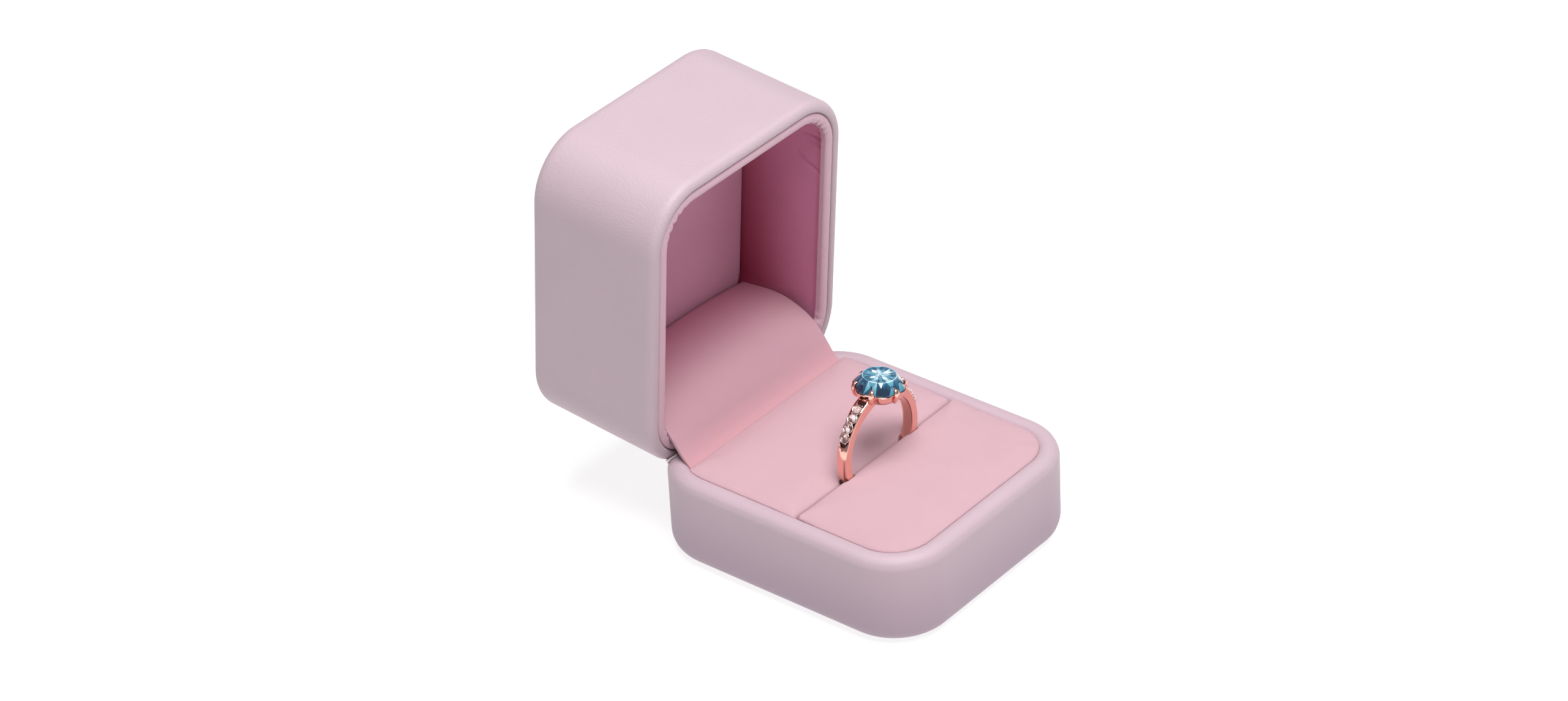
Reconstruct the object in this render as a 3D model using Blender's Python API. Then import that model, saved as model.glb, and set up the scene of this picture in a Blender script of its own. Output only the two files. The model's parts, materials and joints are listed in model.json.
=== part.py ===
"""Small ring box of leather-covered plastic, shown open with a ring standing in its pads.

Frame: origin at the centre of the underside, X along the hinge, -Y the front, +Z up, metres.
The lid is drawn shut and hangs from an empty on the hinge axis, which opens it.
"""

import math

import bmesh
import bpy
from mathutils import Matrix, Vector

# Overall sizes
BOX_WIDTH = 0.055
BOX_DEPTH = 0.062
BASE_HEIGHT = 0.0187
LID_HEIGHT = 0.0297
CORNER_RADIUS = 0.012
OPEN_ANGLE = math.radians(84.84)

# Clearances
GAP = 0.0003  # between pieces that touch on the real box
RIM_GAP = 0.0003  # between the two rims when the box is shut
RELIEF_GAP = 0.0002  # each bevelled rear rim, short of the plane where the two meet

# Covering and walls
SKIN = 0.0009
BASE_RIM_WIDTH = 0.0043
BASE_FLOOR = 0.002
BASE_BOTTOM_ROUND = 0.0039
BASE_RIM_OUTER_ROUND = BASE_RIM_WIDTH * 24 / 43
BASE_RIM_INNER_ROUND = BASE_RIM_WIDTH * 18 / 43
LIP_DEPTH = 0.006  # how far the covering turns down inside the base
TURN_IN = 0.006  # how far the covering turns in under the base
LID_SKIN_RIM = BASE_RIM_WIDTH * 23 / 43  # rim width that the lid's covering takes
LID_RIM_ROUND = 0.00165
LID_TOP_WALL = 0.0019
LID_TOP_ROUND = 0.00275

# Lid lining
COLLAR_WIDTH = 0.0019
COLLAR_DEPTH = 0.00275
LINING_THICKNESS = 0.0008
LINING_END_Y = BOX_DEPTH / 2 - 0.0125
LID_CAVITY_DEPTH = 0.0203  # rim to padded panel
PANEL_BOARD = 0.0008
PANEL_EDGE_ROUND = 0.0008

# Base insert
BOARD_THICKNESS = 0.001
PAD_CREST = 0.0002  # pads above the rim
PAD_ROUND = 0.0016
SLOT_Y = -0.0028
PAD_REAR_Y = BOX_DEPTH / 2 - BASE_RIM_WIDTH - 0.0044

# Hinge
HINGE_INSET = BASE_RIM_WIDTH * 31 / 43  # axis in from the rear face
HINGE_DROP = 0.00025  # axis below the base's rim
HINGE_LENGTH = 0.030
MIDDLE_KNUCKLE = 0.010
KNUCKLE_RADIUS = 0.00135
PIN_RADIUS = 0.00055
LEAF_THICKNESS = 0.0005
LEAF_HEIGHT = 0.0088
RIVET_SPACING = 0.021
RIVET_RADIUS = 0.0006
RIVET_HEAD_RADIUS = 0.0012
RIVET_HEAD = 0.0005
SPRING_WIDTH = 0.008
SPRING_THICKNESS = 0.0003

# Hinge cover: a padded board in the lid and the flap of fabric that joins it to the base
COVER_HALF_WIDTH = BOX_WIDTH / 2 - LID_SKIN_RIM - 0.0032
COVER_FACE = 0.0107  # its face in from the rear of the lid
COVER_THICKNESS = 0.0017
COVER_RIM_GAP = 0.0016
FLAP_THICKNESS = 0.0008
FLAP_HALF_WIDTH = BOX_WIDTH / 2 - BASE_RIM_WIDTH / 2 - 0.00435

# Ring
RING_X = 0.0009
RING_Z = 0.0218
RING_TILT = math.radians(6.0)
RING_OUTER_RADIUS = 0.0108
RING_INNER_RADIUS = 0.0090
RING_BAND_WIDTH = 0.0022
POCKET_GAP = 0.0003
STONE_RADIUS = 0.00485
STONE_GIRDLE = 0.0114  # above the ring's centre
STONE_CROWN = 0.0020
STONE_PAVILION = 0.0021
STONE_TABLE_RADIUS = 0.0029
STONE_CULET_RADIUS = 0.0008
BASKET_WALL = 0.0005
CLAW_COUNT = 6
CLAW_RADIUS = 0.0004
CLAW_RISE = 0.0009  # above the girdle
ACCENT_COUNT = 4  # on each shoulder
ACCENT_RADIUS = 0.0004
ACCENT_FIRST = math.radians(36.0)  # from the top of the ring
ACCENT_STEP = math.radians(9.0)

# Facets
CORNER_STEPS = 6
ROUND_STEPS = 3
TURN_STEPS = 24
BAND_STEPS = 56

RIM_Z = BASE_HEIGHT + RIM_GAP  # the lid's rim when shut
TOP_Z = RIM_Z + LID_HEIGHT
REAR_Y = BOX_DEPTH / 2
HINGE = Vector((0, REAR_Y - HINGE_INSET, BASE_HEIGHT - HINGE_DROP))
SHELL_INSET = SKIN + GAP
BASE_SHELL_INNER = BASE_RIM_WIDTH - SKIN - GAP
BASE_FLOOR_TOP = SHELL_INSET + BASE_FLOOR
LID_SHELL_INNER = LID_SKIN_RIM + GAP
LID_SHELL_WALL = LID_SHELL_INNER - SHELL_INSET
BOARD_LOW = BASE_FLOOR_TOP + GAP
PAD_LOW = BOARD_LOW + BOARD_THICKNESS + GAP
PAD_INSET = BASE_RIM_WIDTH + GAP
COLLAR_INSET = LID_SKIN_RIM + GAP
LINING_INSET = LID_SHELL_INNER + GAP
PANEL_INSET = LINING_INSET + LINING_THICKNESS + GAP
PANEL_FACE = RIM_Z + LID_CAVITY_DEPTH
LID_INNER_TOP = TOP_Z - SHELL_INSET - LID_TOP_WALL
PANEL_BOARD_LOW = LID_INNER_TOP - GAP - PANEL_BOARD
RING_CENTRE = Vector((RING_X, SLOT_Y, RING_Z))
BEYOND = 0.01  # cutters run past what they cut


def clear_scene():
    for item in list(bpy.data.objects):
        bpy.data.objects.remove(item, do_unlink=True)


def make_collection(name):
    collection = bpy.data.collections.new(name)
    bpy.context.scene.collection.children.link(collection)
    return collection


def make_empty(name, place, turn):
    empty = bpy.data.objects.new(name, None)
    empty.matrix_world = Matrix.Translation(place) @ turn
    empty.empty_display_size = 0.005
    parts.objects.link(empty)
    return empty


def make_material(name, color, roughness, metallic=0.0):
    material = bpy.data.materials.new(name)
    material.use_nodes = True
    shader = material.node_tree.nodes["Principled BSDF"]
    shader.inputs["Base Color"].default_value = (*color, 1)
    shader.inputs["Roughness"].default_value = roughness
    shader.inputs["Metallic"].default_value = metallic
    return material


def add_object(name, mesh, material=None):
    """Link a bmesh as a part, or as a hidden cutter when it has no material."""
    data = bpy.data.meshes.new(name)
    bmesh.ops.recalc_face_normals(mesh, faces=mesh.faces)
    mesh.to_mesh(data)
    mesh.free()
    item = bpy.data.objects.new(name, data)
    if material is None:
        cutters.objects.link(item)
        item.hide_render = True
        item.display_type = "WIRE"
        return item
    data.materials.append(material)
    data.shade_smooth()
    data.set_sharp_from_angle(angle=math.radians(35))
    parts.objects.link(item)
    return item


def hang(item, empty):
    """Parent a piece drawn in the shut box's frame to the empty that moves it."""
    item.parent = empty
    item.matrix_parent_inverse = Matrix.Translation(-empty.location)


def add_boolean(target, other, operation="DIFFERENCE"):
    modifier = target.modifiers.new(other.name, "BOOLEAN")
    modifier.object = other
    modifier.operation = operation
    modifier.solver = "EXACT"


# Shapes


def box_mesh(low, high):
    mesh = bmesh.new()
    bmesh.ops.create_cube(mesh, size=1.0)
    low, high = Vector(low), Vector(high)
    bmesh.ops.scale(mesh, vec=high - low, verts=mesh.verts)
    bmesh.ops.translate(mesh, vec=(low + high) / 2, verts=mesh.verts)
    return mesh


def round_edges(mesh, edges, radius, steps):
    bmesh.ops.bevel(
        mesh, geom=edges, offset=radius, offset_type="OFFSET",
        segments=steps, profile=0.5, affect="EDGES", clamp_overlap=False,
    )


def rounded_box_mesh(inset, low, high, low_round=0.0, high_round=0.0):
    """A block on the box's plan drawn in by inset, from low to high, with its end edges rounded."""
    half_x, half_y = BOX_WIDTH / 2 - inset, BOX_DEPTH / 2 - inset
    mesh = box_mesh((-half_x, -half_y, low), (half_x, half_y, high))
    upright = [edge for edge in mesh.edges if abs(edge.verts[0].co.z - edge.verts[1].co.z) > 1e-5]
    round_edges(mesh, upright, CORNER_RADIUS - inset, CORNER_STEPS)
    for level, radius in ((low, low_round), (high, high_round)):
        if radius > 0:
            rim = [edge for edge in mesh.edges if all(abs(v.co.z - level) < 1e-6 for v in edge.verts)]
            round_edges(mesh, rim, radius, ROUND_STEPS)
    return mesh


def cylinder_mesh(start, end, radius, steps=TURN_STEPS):
    start, end = Vector(start), Vector(end)
    mesh = bmesh.new()
    turn = (end - start).to_track_quat("Z", "Y").to_matrix().to_4x4()
    bmesh.ops.create_cone(
        mesh, cap_ends=True, segments=steps, radius1=radius, radius2=radius,
        depth=(end - start).length, matrix=Matrix.Translation((start + end) / 2) @ turn,
    )
    return mesh


def trim(mesh, place, normal):
    """Cut off the side that normal points to and close the cut."""
    geometry = list(mesh.verts) + list(mesh.edges) + list(mesh.faces)
    cut = bmesh.ops.bisect_plane(mesh, geom=geometry, plane_co=place, plane_no=normal, clear_outer=True)
    rim = [item for item in cut["geom_cut"] if isinstance(item, bmesh.types.BMEdge)]
    bmesh.ops.contextual_create(mesh, geom=rim)


def arc(centre, radius, start, end):
    """Points of a circle's arc between two angles in degrees."""
    points = []
    for step in range(ROUND_STEPS + 1):
        angle = math.radians(start + (end - start) * step / ROUND_STEPS)
        points.append((centre[0] + radius * math.cos(angle), centre[1] + radius * math.sin(angle)))
    return points


def plan_outline(rear_y=None):
    """The box's plan, anticlockwise, or only the part of it in front of rear_y."""
    corner_x, corner_y = BOX_WIDTH / 2 - CORNER_RADIUS, BOX_DEPTH / 2 - CORNER_RADIUS
    corners = [(-corner_x, corner_y, 90), (-corner_x, -corner_y, 180), (corner_x, -corner_y, 270),
               (corner_x, corner_y, 0)]
    points = []
    for x, y, first in corners if rear_y is None else corners[1:3]:
        for step in range(CORNER_STEPS + 1):
            angle = math.radians(first + 90 * step / CORNER_STEPS)
            points.append((x + CORNER_RADIUS * math.cos(angle), y + CORNER_RADIUS * math.sin(angle)))
    if rear_y is not None:  # an open path carries its section on the other side, so it runs clockwise
        points = [(-BOX_WIDTH / 2, rear_y), *points, (BOX_WIDTH / 2, rear_y)][::-1]
    return points


def flat_curve(name, points, closed):
    curve = bpy.data.curves.new(name, "CURVE")
    curve.dimensions = "2D"
    spline = curve.splines.new("POLY")
    spline.points.add(len(points) - 1)
    for point, place in zip(spline.points, points):
        point.co = (*place, 0, 1)
    spline.use_cyclic_u = closed
    item = bpy.data.objects.new(name, curve)
    bpy.context.scene.collection.objects.link(item)
    return item


def swept_mesh(section, rear_y=None):
    """A section of (inset, height) points carried round the plan, or round its front three sides."""
    path = flat_curve("path", plan_outline(rear_y), closed=rear_y is None)
    profile = flat_curve("profile", section, closed=True)
    path.data.bevel_mode = "OBJECT"
    path.data.bevel_object = profile
    path.data.use_fill_caps = rear_y is not None
    bpy.context.view_layer.update()
    graph = bpy.context.evaluated_depsgraph_get()
    data = bpy.data.meshes.new_from_object(path.evaluated_get(graph))
    mesh = bmesh.new()
    mesh.from_mesh(data)
    bmesh.ops.remove_doubles(mesh, verts=mesh.verts, dist=1e-6)
    bpy.data.meshes.remove(data)
    for item in (path, profile):
        bpy.data.objects.remove(item, do_unlink=True)
    return mesh


def turned_mesh(section, turn=Matrix.Identity(4), steps=TURN_STEPS):
    """A closed section of (radius, height) points turned about Z, then placed by turn."""
    mesh = bmesh.new()
    verts = [mesh.verts.new((radius, 0, height)) for radius, height in section]
    edges = [mesh.edges.new(pair) for pair in zip(verts, verts[1:])]
    if section[0][0] > 0:
        edges.append(mesh.edges.new((verts[-1], verts[0])))
    bmesh.ops.spin(
        mesh, geom=verts + edges, cent=(0, 0, 0), axis=(0, 0, 1), angle=2 * math.pi,
        steps=steps, use_merge=False, use_normal_flip=False,
    )
    bmesh.ops.remove_doubles(mesh, verts=mesh.verts, dist=1e-6)
    bmesh.ops.transform(mesh, matrix=turn, verts=mesh.verts)
    return mesh


def sector_mesh(radius, half_width, start, sweep):
    """A block from radius out past the band, swept round the ring's axis from start, measured from the top."""
    mesh = bmesh.new()
    corners = [(radius, -half_width), (radius + BEYOND, -half_width), (radius + BEYOND, half_width),
               (radius, half_width)]
    top = [RING_CENTRE + Vector((0, y, r)) for r, y in corners]
    face = mesh.faces.new([mesh.verts.new(place) for place in top])
    bmesh.ops.rotate(mesh, cent=RING_CENTRE, matrix=Matrix.Rotation(start, 3, "Y"), verts=mesh.verts)
    bmesh.ops.spin(mesh, geom=[face], cent=RING_CENTRE, axis=(0, 1, 0), angle=sweep, steps=TURN_STEPS // 3)
    return mesh


def strip_mesh(points, half_width, thickness):
    """A band of even thickness along (y, z) points, straight across X."""
    sides = [[], []]
    for number, point in enumerate(points):
        along = (points[min(number + 1, len(points) - 1)] - points[max(number - 1, 0)]).normalized()
        across = thickness / 2 * Vector((-along.y, along.x))
        sides[0].append(point + across)
        sides[1].append(point - across)
    mesh = bmesh.new()
    face = mesh.faces.new([mesh.verts.new((-half_width, y, z)) for y, z in sides[0] + sides[1][::-1]])
    grown = bmesh.ops.extrude_face_region(mesh, geom=[face])
    moved = [item for item in grown["geom"] if isinstance(item, bmesh.types.BMVert)]
    bmesh.ops.translate(mesh, vec=(2 * half_width, 0, 0), verts=moved)
    return mesh


def bow(start, control, end, steps):
    """Points of a parabola from start to end, drawn towards control."""
    points = []
    for step in range(steps + 1):
        share = step / steps
        points.append((1 - share) ** 2 * start + 2 * share * (1 - share) * control + share ** 2 * end)
    return points


# Where the lid's pieces are when it stands open


def opened(y, z):
    """Where a point of the shut lid is when the lid stands open, as (y, z)."""
    turned = Matrix.Rotation(-OPEN_ANGLE, 3, "X") @ (Vector((0, y, z)) - HINGE) + HINGE
    return Vector((turned.y, turned.z))


# Covering and shells


def covering_contour(depth):
    """The base covering's outside, or its inside at depth, as (inset, height)."""
    bottom = arc((BASE_BOTTOM_ROUND, BASE_BOTTOM_ROUND), BASE_BOTTOM_ROUND - depth, 270, 180)
    outer = (BASE_RIM_OUTER_ROUND, BASE_HEIGHT - BASE_RIM_OUTER_ROUND)
    inner = (BASE_RIM_WIDTH - BASE_RIM_INNER_ROUND, BASE_HEIGHT - BASE_RIM_INNER_ROUND)
    rim = arc(outer, BASE_RIM_OUTER_ROUND - depth, 180, 90) + arc(inner, BASE_RIM_INNER_ROUND - depth, 90, 0)
    lip = (BASE_RIM_WIDTH - depth, BASE_HEIGHT - LIP_DEPTH)
    return [(TURN_IN, depth), *bottom, *rim, lip]


def make_base_covering():
    section = covering_contour(0) + covering_contour(SKIN)[::-1]
    return add_object("base_wrap", swept_mesh(section), leather)


def make_base_shell():
    block = rounded_box_mesh(
        SHELL_INSET, SHELL_INSET, BASE_HEIGHT - BASE_RIM_INNER_ROUND,
        BASE_BOTTOM_ROUND - SHELL_INSET, BASE_RIM_OUTER_ROUND - SHELL_INSET,
    )
    shell = add_object("base_shell", block, plastic)
    hollow = rounded_box_mesh(BASE_SHELL_INNER, BASE_FLOOR_TOP, BASE_HEIGHT + BEYOND)
    add_boolean(shell, add_object("base_hollow", hollow))
    return shell


def make_lid_covering():
    block = rounded_box_mesh(0, RIM_Z, TOP_Z, LID_RIM_ROUND, LID_TOP_ROUND)
    covering = add_object("lid_wrap", block, leather)
    inside = rounded_box_mesh(SKIN, RIM_Z + SKIN, TOP_Z - SKIN, LID_RIM_ROUND - SKIN, LID_TOP_ROUND - SKIN)
    mouth = rounded_box_mesh(LID_SKIN_RIM, RIM_Z - BEYOND, RIM_Z + 2 * SKIN)
    for name, mesh in (("lid_covering_inside", inside), ("lid_covering_mouth", mouth)):
        cutter = add_object(name, mesh)
        hang(cutter, lid_axis)
        add_boolean(covering, cutter)
    return covering


def make_lid_shell():
    block = rounded_box_mesh(
        SHELL_INSET, RIM_Z + SHELL_INSET, TOP_Z - SHELL_INSET,
        LID_RIM_ROUND - SHELL_INSET, LID_TOP_ROUND - SHELL_INSET,
    )
    shell = add_object("lid_shell", block, plastic)
    cutter = add_object("lid_hollow", rounded_box_mesh(LID_SHELL_INNER, RIM_Z - BEYOND, LID_INNER_TOP))
    hang(cutter, lid_axis)
    add_boolean(shell, cutter)
    return shell


# Linings, pads and boards


def make_collar():
    radius = COLLAR_WIDTH / 2
    bead = arc((COLLAR_INSET + radius, RIM_Z + radius), radius, 180, 270)
    bead += arc((COLLAR_INSET + radius, RIM_Z + radius), radius, 270, 360)[1:]
    top = RIM_Z + COLLAR_DEPTH
    section = [*bead, (COLLAR_INSET + COLLAR_WIDTH, top), (COLLAR_INSET, top)]
    return add_object("lid_collar", swept_mesh(section), leather)


def make_wall_lining():
    low = RIM_Z + COLLAR_DEPTH + GAP
    inner = LINING_INSET + LINING_THICKNESS
    section = [(LINING_INSET, low), (inner, low), (inner, LID_INNER_TOP - GAP), (LINING_INSET, LID_INNER_TOP - GAP)]
    return add_object("lid_wall_lining", swept_mesh(section, LINING_END_Y), lining)


def make_lid_panel():
    panel = rounded_box_mesh(PANEL_INSET, PANEL_FACE, PANEL_BOARD_LOW - GAP, PANEL_EDGE_ROUND)
    board = rounded_box_mesh(PANEL_INSET, PANEL_BOARD_LOW, PANEL_BOARD_LOW + PANEL_BOARD)
    return [add_object("lid_top_panel", panel, lining), add_object("lid_panel_board", board, card)]


def make_bottom_cover():
    return add_object("bottom_cover", rounded_box_mesh(TURN_IN + GAP, 0, SKIN), bottom_cloth)


def make_insert_board():
    board = rounded_box_mesh(BASE_SHELL_INNER + GAP, BOARD_LOW, BOARD_LOW + BOARD_THICKNESS)
    return add_object("insert_board", board, card)


def make_pads():
    """The two pads, cut from one rounded block at the slot, with the ring's pocket in both."""
    half_slot = GAP / 2
    pocket_half = RING_BAND_WIDTH / 2 + POCKET_GAP
    pocket_mesh = cylinder_mesh(
        RING_CENTRE - Vector((0, pocket_half, 0)), RING_CENTRE + Vector((0, pocket_half, 0)),
        RING_OUTER_RADIUS + POCKET_GAP, 2 * TURN_STEPS,
    )
    pocket = add_object("ring_pocket", pocket_mesh)
    cuts = {
        "front_pad": [((0, SLOT_Y - half_slot, 0), (0, 1, 0))],
        "rear_pad": [((0, SLOT_Y + half_slot, 0), (0, -1, 0)), ((0, PAD_REAR_Y, 0), (0, 1, 0))],
    }
    for name, planes in cuts.items():
        block = rounded_box_mesh(PAD_INSET, PAD_LOW, BASE_HEIGHT + PAD_CREST, 0, PAD_ROUND)
        for place, normal in planes:
            trim(block, place, normal)
        add_boolean(add_object(name, block, velvet), pocket)


# Hinge


def knuckle_mesh(half_length, radius):
    return cylinder_mesh(HINGE - Vector((half_length, 0, 0)), HINGE + Vector((half_length, 0, 0)), radius)


def make_relief(name, side):
    """The wedge behind the hinge axis that lets the rear rims fold back; side is 1 over the base, -1 under the lid."""
    slope = math.tan(OPEN_ANGLE / 2)
    start = RELIEF_GAP / math.cos(OPEN_ANGLE / 2)
    outline = [(0, -start), (BEYOND, -start - BEYOND * slope), (BEYOND, BEYOND), (0, BEYOND)]
    mesh = bmesh.new()
    corners = [mesh.verts.new((-BOX_WIDTH, HINGE.y + y, HINGE.z + side * z)) for y, z in outline]
    face = mesh.faces.new(corners)
    grown = bmesh.ops.extrude_face_region(mesh, geom=[face])
    moved = [item for item in grown["geom"] if isinstance(item, bmesh.types.BMVert)]
    bmesh.ops.translate(mesh, vec=(2 * BOX_WIDTH, 0, 0), verts=moved)
    return add_object(name, mesh)


def make_knuckle_clearance(name):
    return add_object(name, knuckle_mesh(HINGE_LENGTH / 2 + GAP, KNUCKLE_RADIUS + GAP))


def make_leaf(name, face_y, low, high, knuckles, clearances, holder):
    """A hinge leaf: a plate, its knuckles joined to it, and room cut for the other leaf's and for the pin."""
    half = HINGE_LENGTH / 2 - GAP / 2  # its ends stand clear of the knuckles' ends
    leaf = add_object(name, box_mesh((-half, face_y, low), (half, face_y + LEAF_THICKNESS, high)), steel)
    steps = [(knuckles, KNUCKLE_RADIUS, "UNION"), (clearances, KNUCKLE_RADIUS + GAP, "DIFFERENCE"),
             ([(-half - BEYOND, half + BEYOND)], PIN_RADIUS + GAP, "DIFFERENCE")]
    for spans, radius, operation in steps:
        for low_x, high_x in spans:
            mesh = cylinder_mesh((low_x, HINGE.y, HINGE.z), (high_x, HINGE.y, HINGE.z), radius)
            other = add_object(f"{name}_{operation.lower()}_{len(leaf.modifiers)}", mesh)
            if holder:
                hang(other, holder)
            add_boolean(leaf, other, operation)
    return leaf


def make_leaves():
    half, middle = HINGE_LENGTH / 2, MIDDLE_KNUCKLE / 2
    outer = [(-half, -middle - 1.5 * GAP), (middle + 1.5 * GAP, half)]
    base_face = REAR_Y - BASE_SHELL_INNER - GAP - LEAF_THICKNESS
    lid_face = REAR_Y - LID_SHELL_INNER - GAP - LEAF_THICKNESS
    base_leaf = make_leaf(
        "hinge_leaf_base", base_face, HINGE.z - LEAF_HEIGHT, HINGE.z,
        outer, [(-middle - GAP, middle + GAP)], None,
    )
    lid_leaf = make_leaf(
        "hinge_leaf_lid", lid_face, HINGE.z, HINGE.z + LEAF_HEIGHT,
        [(-middle, middle)], [(-half - BEYOND, -middle - GAP / 2), (middle + GAP / 2, half + BEYOND)], lid_axis,
    )
    hang(lid_leaf, lid_axis)
    return base_leaf, lid_leaf, base_face, lid_face


def make_rivets(leaf, shell, face_y, height, side, holder):
    """Two flat-headed rivets through a leaf into its shell, and the holes that they sit in."""
    turn = Matrix.Rotation(math.radians(-90), 4, "X")
    section = [
        (0, 0), (RIVET_HEAD_RADIUS, 0), (RIVET_HEAD_RADIUS, RIVET_HEAD), (RIVET_RADIUS, RIVET_HEAD),
        (RIVET_RADIUS, RIVET_HEAD + GAP + LEAF_THICKNESS + GAP + LID_SHELL_WALL), (0, RIVET_HEAD + GAP
        + LEAF_THICKNESS + GAP + LID_SHELL_WALL),
    ]
    for number, x in enumerate((-RIVET_SPACING / 2, RIVET_SPACING / 2), 1):
        start = Vector((x, face_y - GAP - RIVET_HEAD, height))
        rivet = add_object(f"{side}_rivet_{number}", turned_mesh(section, Matrix.Translation(start) @ turn, 12), steel)
        hole_end = (x, face_y + BEYOND / 2, height)
        hole = add_object(f"{side}_rivet_hole_{number}", cylinder_mesh(start, hole_end, RIVET_RADIUS + GAP, 12))
        for item in (rivet, hole):
            if holder:
                hang(item, holder)
        add_boolean(leaf, hole)
        add_boolean(shell, hole)


def make_hinge(base_shell, base_wrap, lid_shell, lid_wrap, collar):
    base_leaf, lid_leaf, base_face, lid_face = make_leaves()
    pin = add_object("hinge_pin", knuckle_mesh(HINGE_LENGTH / 2, PIN_RADIUS), steel)
    reach = HINGE_LENGTH / 2 + GAP
    base_cuts = [make_relief("base_relief", 1), make_knuckle_clearance("base_knuckle_clearance")]
    lid_cuts = [make_relief("lid_relief", -1), make_knuckle_clearance("lid_knuckle_clearance")]
    lip_notch = box_mesh(
        (-reach, REAR_Y - BASE_RIM_WIDTH - GAP, HINGE.z - LEAF_HEIGHT - GAP),
        (reach, REAR_Y - BASE_SHELL_INNER, HINGE.z + BEYOND),
    )
    collar_notch = box_mesh((-reach, base_face - BEYOND / 2, RIM_Z - BEYOND), (reach, REAR_Y, HINGE.z + LEAF_HEIGHT))
    for cutter in base_cuts:
        add_boolean(base_shell, cutter)
        add_boolean(base_wrap, cutter)
    add_boolean(base_wrap, add_object("lip_notch", lip_notch))
    for cutter in lid_cuts:
        hang(cutter, lid_axis)
        for piece in (lid_shell, lid_wrap, collar):
            add_boolean(piece, cutter)
    notch = add_object("collar_notch", collar_notch)
    hang(notch, lid_axis)
    add_boolean(collar, notch)
    make_rivets(base_leaf, base_shell, base_face, HINGE.z - 0.65 * LEAF_HEIGHT, "base", None)
    make_rivets(lid_leaf, lid_shell, lid_face, HINGE.z + 0.65 * LEAF_HEIGHT, "lid", lid_axis)
    make_snap_spring(base_face, lid_face)
    return pin


def make_snap_spring(base_face, lid_face):
    """A bowed strip over the knuckles that pushes the lid to either end of its travel."""
    stand_off = GAP + SPRING_THICKNESS
    start = Vector((base_face - stand_off, HINGE.z - 0.7 * LEAF_HEIGHT))
    end = opened(lid_face - stand_off, HINGE.z + 0.85 * LEAF_HEIGHT)
    crest = Vector((HINGE.y - 3.2 * KNUCKLE_RADIUS, HINGE.z + 5.2 * KNUCKLE_RADIUS))
    strip = strip_mesh(bow(start, crest, end, 12), SPRING_WIDTH / 2, SPRING_THICKNESS)
    return add_object("snap_spring", strip, steel)


# Hinge cover


def make_hinge_cover():
    """The padded board in front of the hinge, carried by the lid, and the flap down to the base."""
    face = REAR_Y - COVER_FACE
    low = RIM_Z + COVER_RIM_GAP
    block = box_mesh((-COVER_HALF_WIDTH, face, low), (COVER_HALF_WIDTH, face + COVER_THICKNESS, PANEL_FACE - GAP))
    round_edges(block, list(block.edges), COVER_THICKNESS / 3, 2)
    board = add_object("hinge_cover", block, lining)
    hang(board, lid_axis)
    start = Vector((PAD_REAR_Y + GAP + FLAP_THICKNESS, BASE_HEIGHT - BASE_RIM_INNER_ROUND))
    end = opened(face + COVER_THICKNESS / 2, low - GAP - FLAP_THICKNESS / 2)
    middle = (start + end) / 2
    across = Vector((end.y - start.y, start.x - end.x)).normalized()
    flap = strip_mesh(bow(start, middle + across * FLAP_THICKNESS, end, 8), FLAP_HALF_WIDTH, FLAP_THICKNESS)
    add_object("hinge_flap", flap, lining)


# Ring


def make_band():
    """A D-section band turned about Y, flat on the finger side."""
    half, shoulder = RING_BAND_WIDTH / 2, 0.25 * (RING_OUTER_RADIUS - RING_INNER_RADIUS)
    crown = RING_OUTER_RADIUS - RING_INNER_RADIUS - shoulder
    section = [(RING_INNER_RADIUS, -half)]
    for step in range(2 * ROUND_STEPS + 1):
        angle = math.pi * (step / (2 * ROUND_STEPS) - 0.5)
        section.append((RING_INNER_RADIUS + shoulder + crown * math.cos(angle), half * math.sin(angle)))
    section.append((RING_INNER_RADIUS, half))
    turn = Matrix.Translation(RING_CENTRE) @ Matrix.Rotation(math.radians(-90), 4, "X")
    return add_object("ring_band", turned_mesh(section, turn, BAND_STEPS), gold)


def head_room_section():
    """The room that the basket needs in the band, open to the finger hole, as (radius, height)."""
    top = STONE_GIRDLE + BEYOND / 4
    low = STONE_GIRDLE - STONE_PAVILION - GAP
    wide = STONE_RADIUS + 2 * GAP + BASKET_WALL
    narrow = STONE_CULET_RADIUS + 3 * GAP + 2 * BASKET_WALL
    return [(0, top), (wide, top), (wide, STONE_GIRDLE), (narrow, low), (narrow, low - BEYOND / 4),
            (0, low - BEYOND / 4)]


def make_basket():
    """The turned cup under the stone and the claws joined to it."""
    low, top = STONE_GIRDLE - STONE_PAVILION, STONE_GIRDLE
    inner_top, inner_low = STONE_RADIUS + GAP, STONE_CULET_RADIUS + 2 * GAP + BASKET_WALL / 2
    section = [(inner_low, low), (inner_top, top), (inner_top + BASKET_WALL, top),
               (STONE_CULET_RADIUS + 2 * GAP + 2 * BASKET_WALL, low)]
    basket = add_object("ring_basket", turned_mesh(section, Matrix.Translation(RING_CENTRE), 2 * TURN_STEPS), gold)
    for number in range(CLAW_COUNT):
        angle = 2 * math.pi * (number + 0.5) / CLAW_COUNT
        reach = inner_top + CLAW_RADIUS
        foot = RING_CENTRE + Vector((reach * math.cos(angle), reach * math.sin(angle), top - 2 * CLAW_RADIUS))
        tip = foot + Vector((0, 0, CLAW_RISE + 2 * CLAW_RADIUS))
        claw = add_object(f"claw_{number + 1}", cylinder_mesh(foot, tip, CLAW_RADIUS, 8))
        hang(claw, ring_seat)
        add_boolean(basket, claw, "UNION")
    return basket


def make_stone():
    girdle_low, girdle_high = STONE_GIRDLE, STONE_GIRDLE + GAP
    section = [
        (0, girdle_low - STONE_PAVILION), (STONE_CULET_RADIUS, girdle_low - STONE_PAVILION),
        (STONE_RADIUS, girdle_low), (STONE_RADIUS, girdle_high),
        (STONE_TABLE_RADIUS, girdle_high + STONE_CROWN), (0, girdle_high + STONE_CROWN),
    ]
    return add_object("ring_stone", turned_mesh(section, Matrix.Translation(RING_CENTRE)), topaz)


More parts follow.
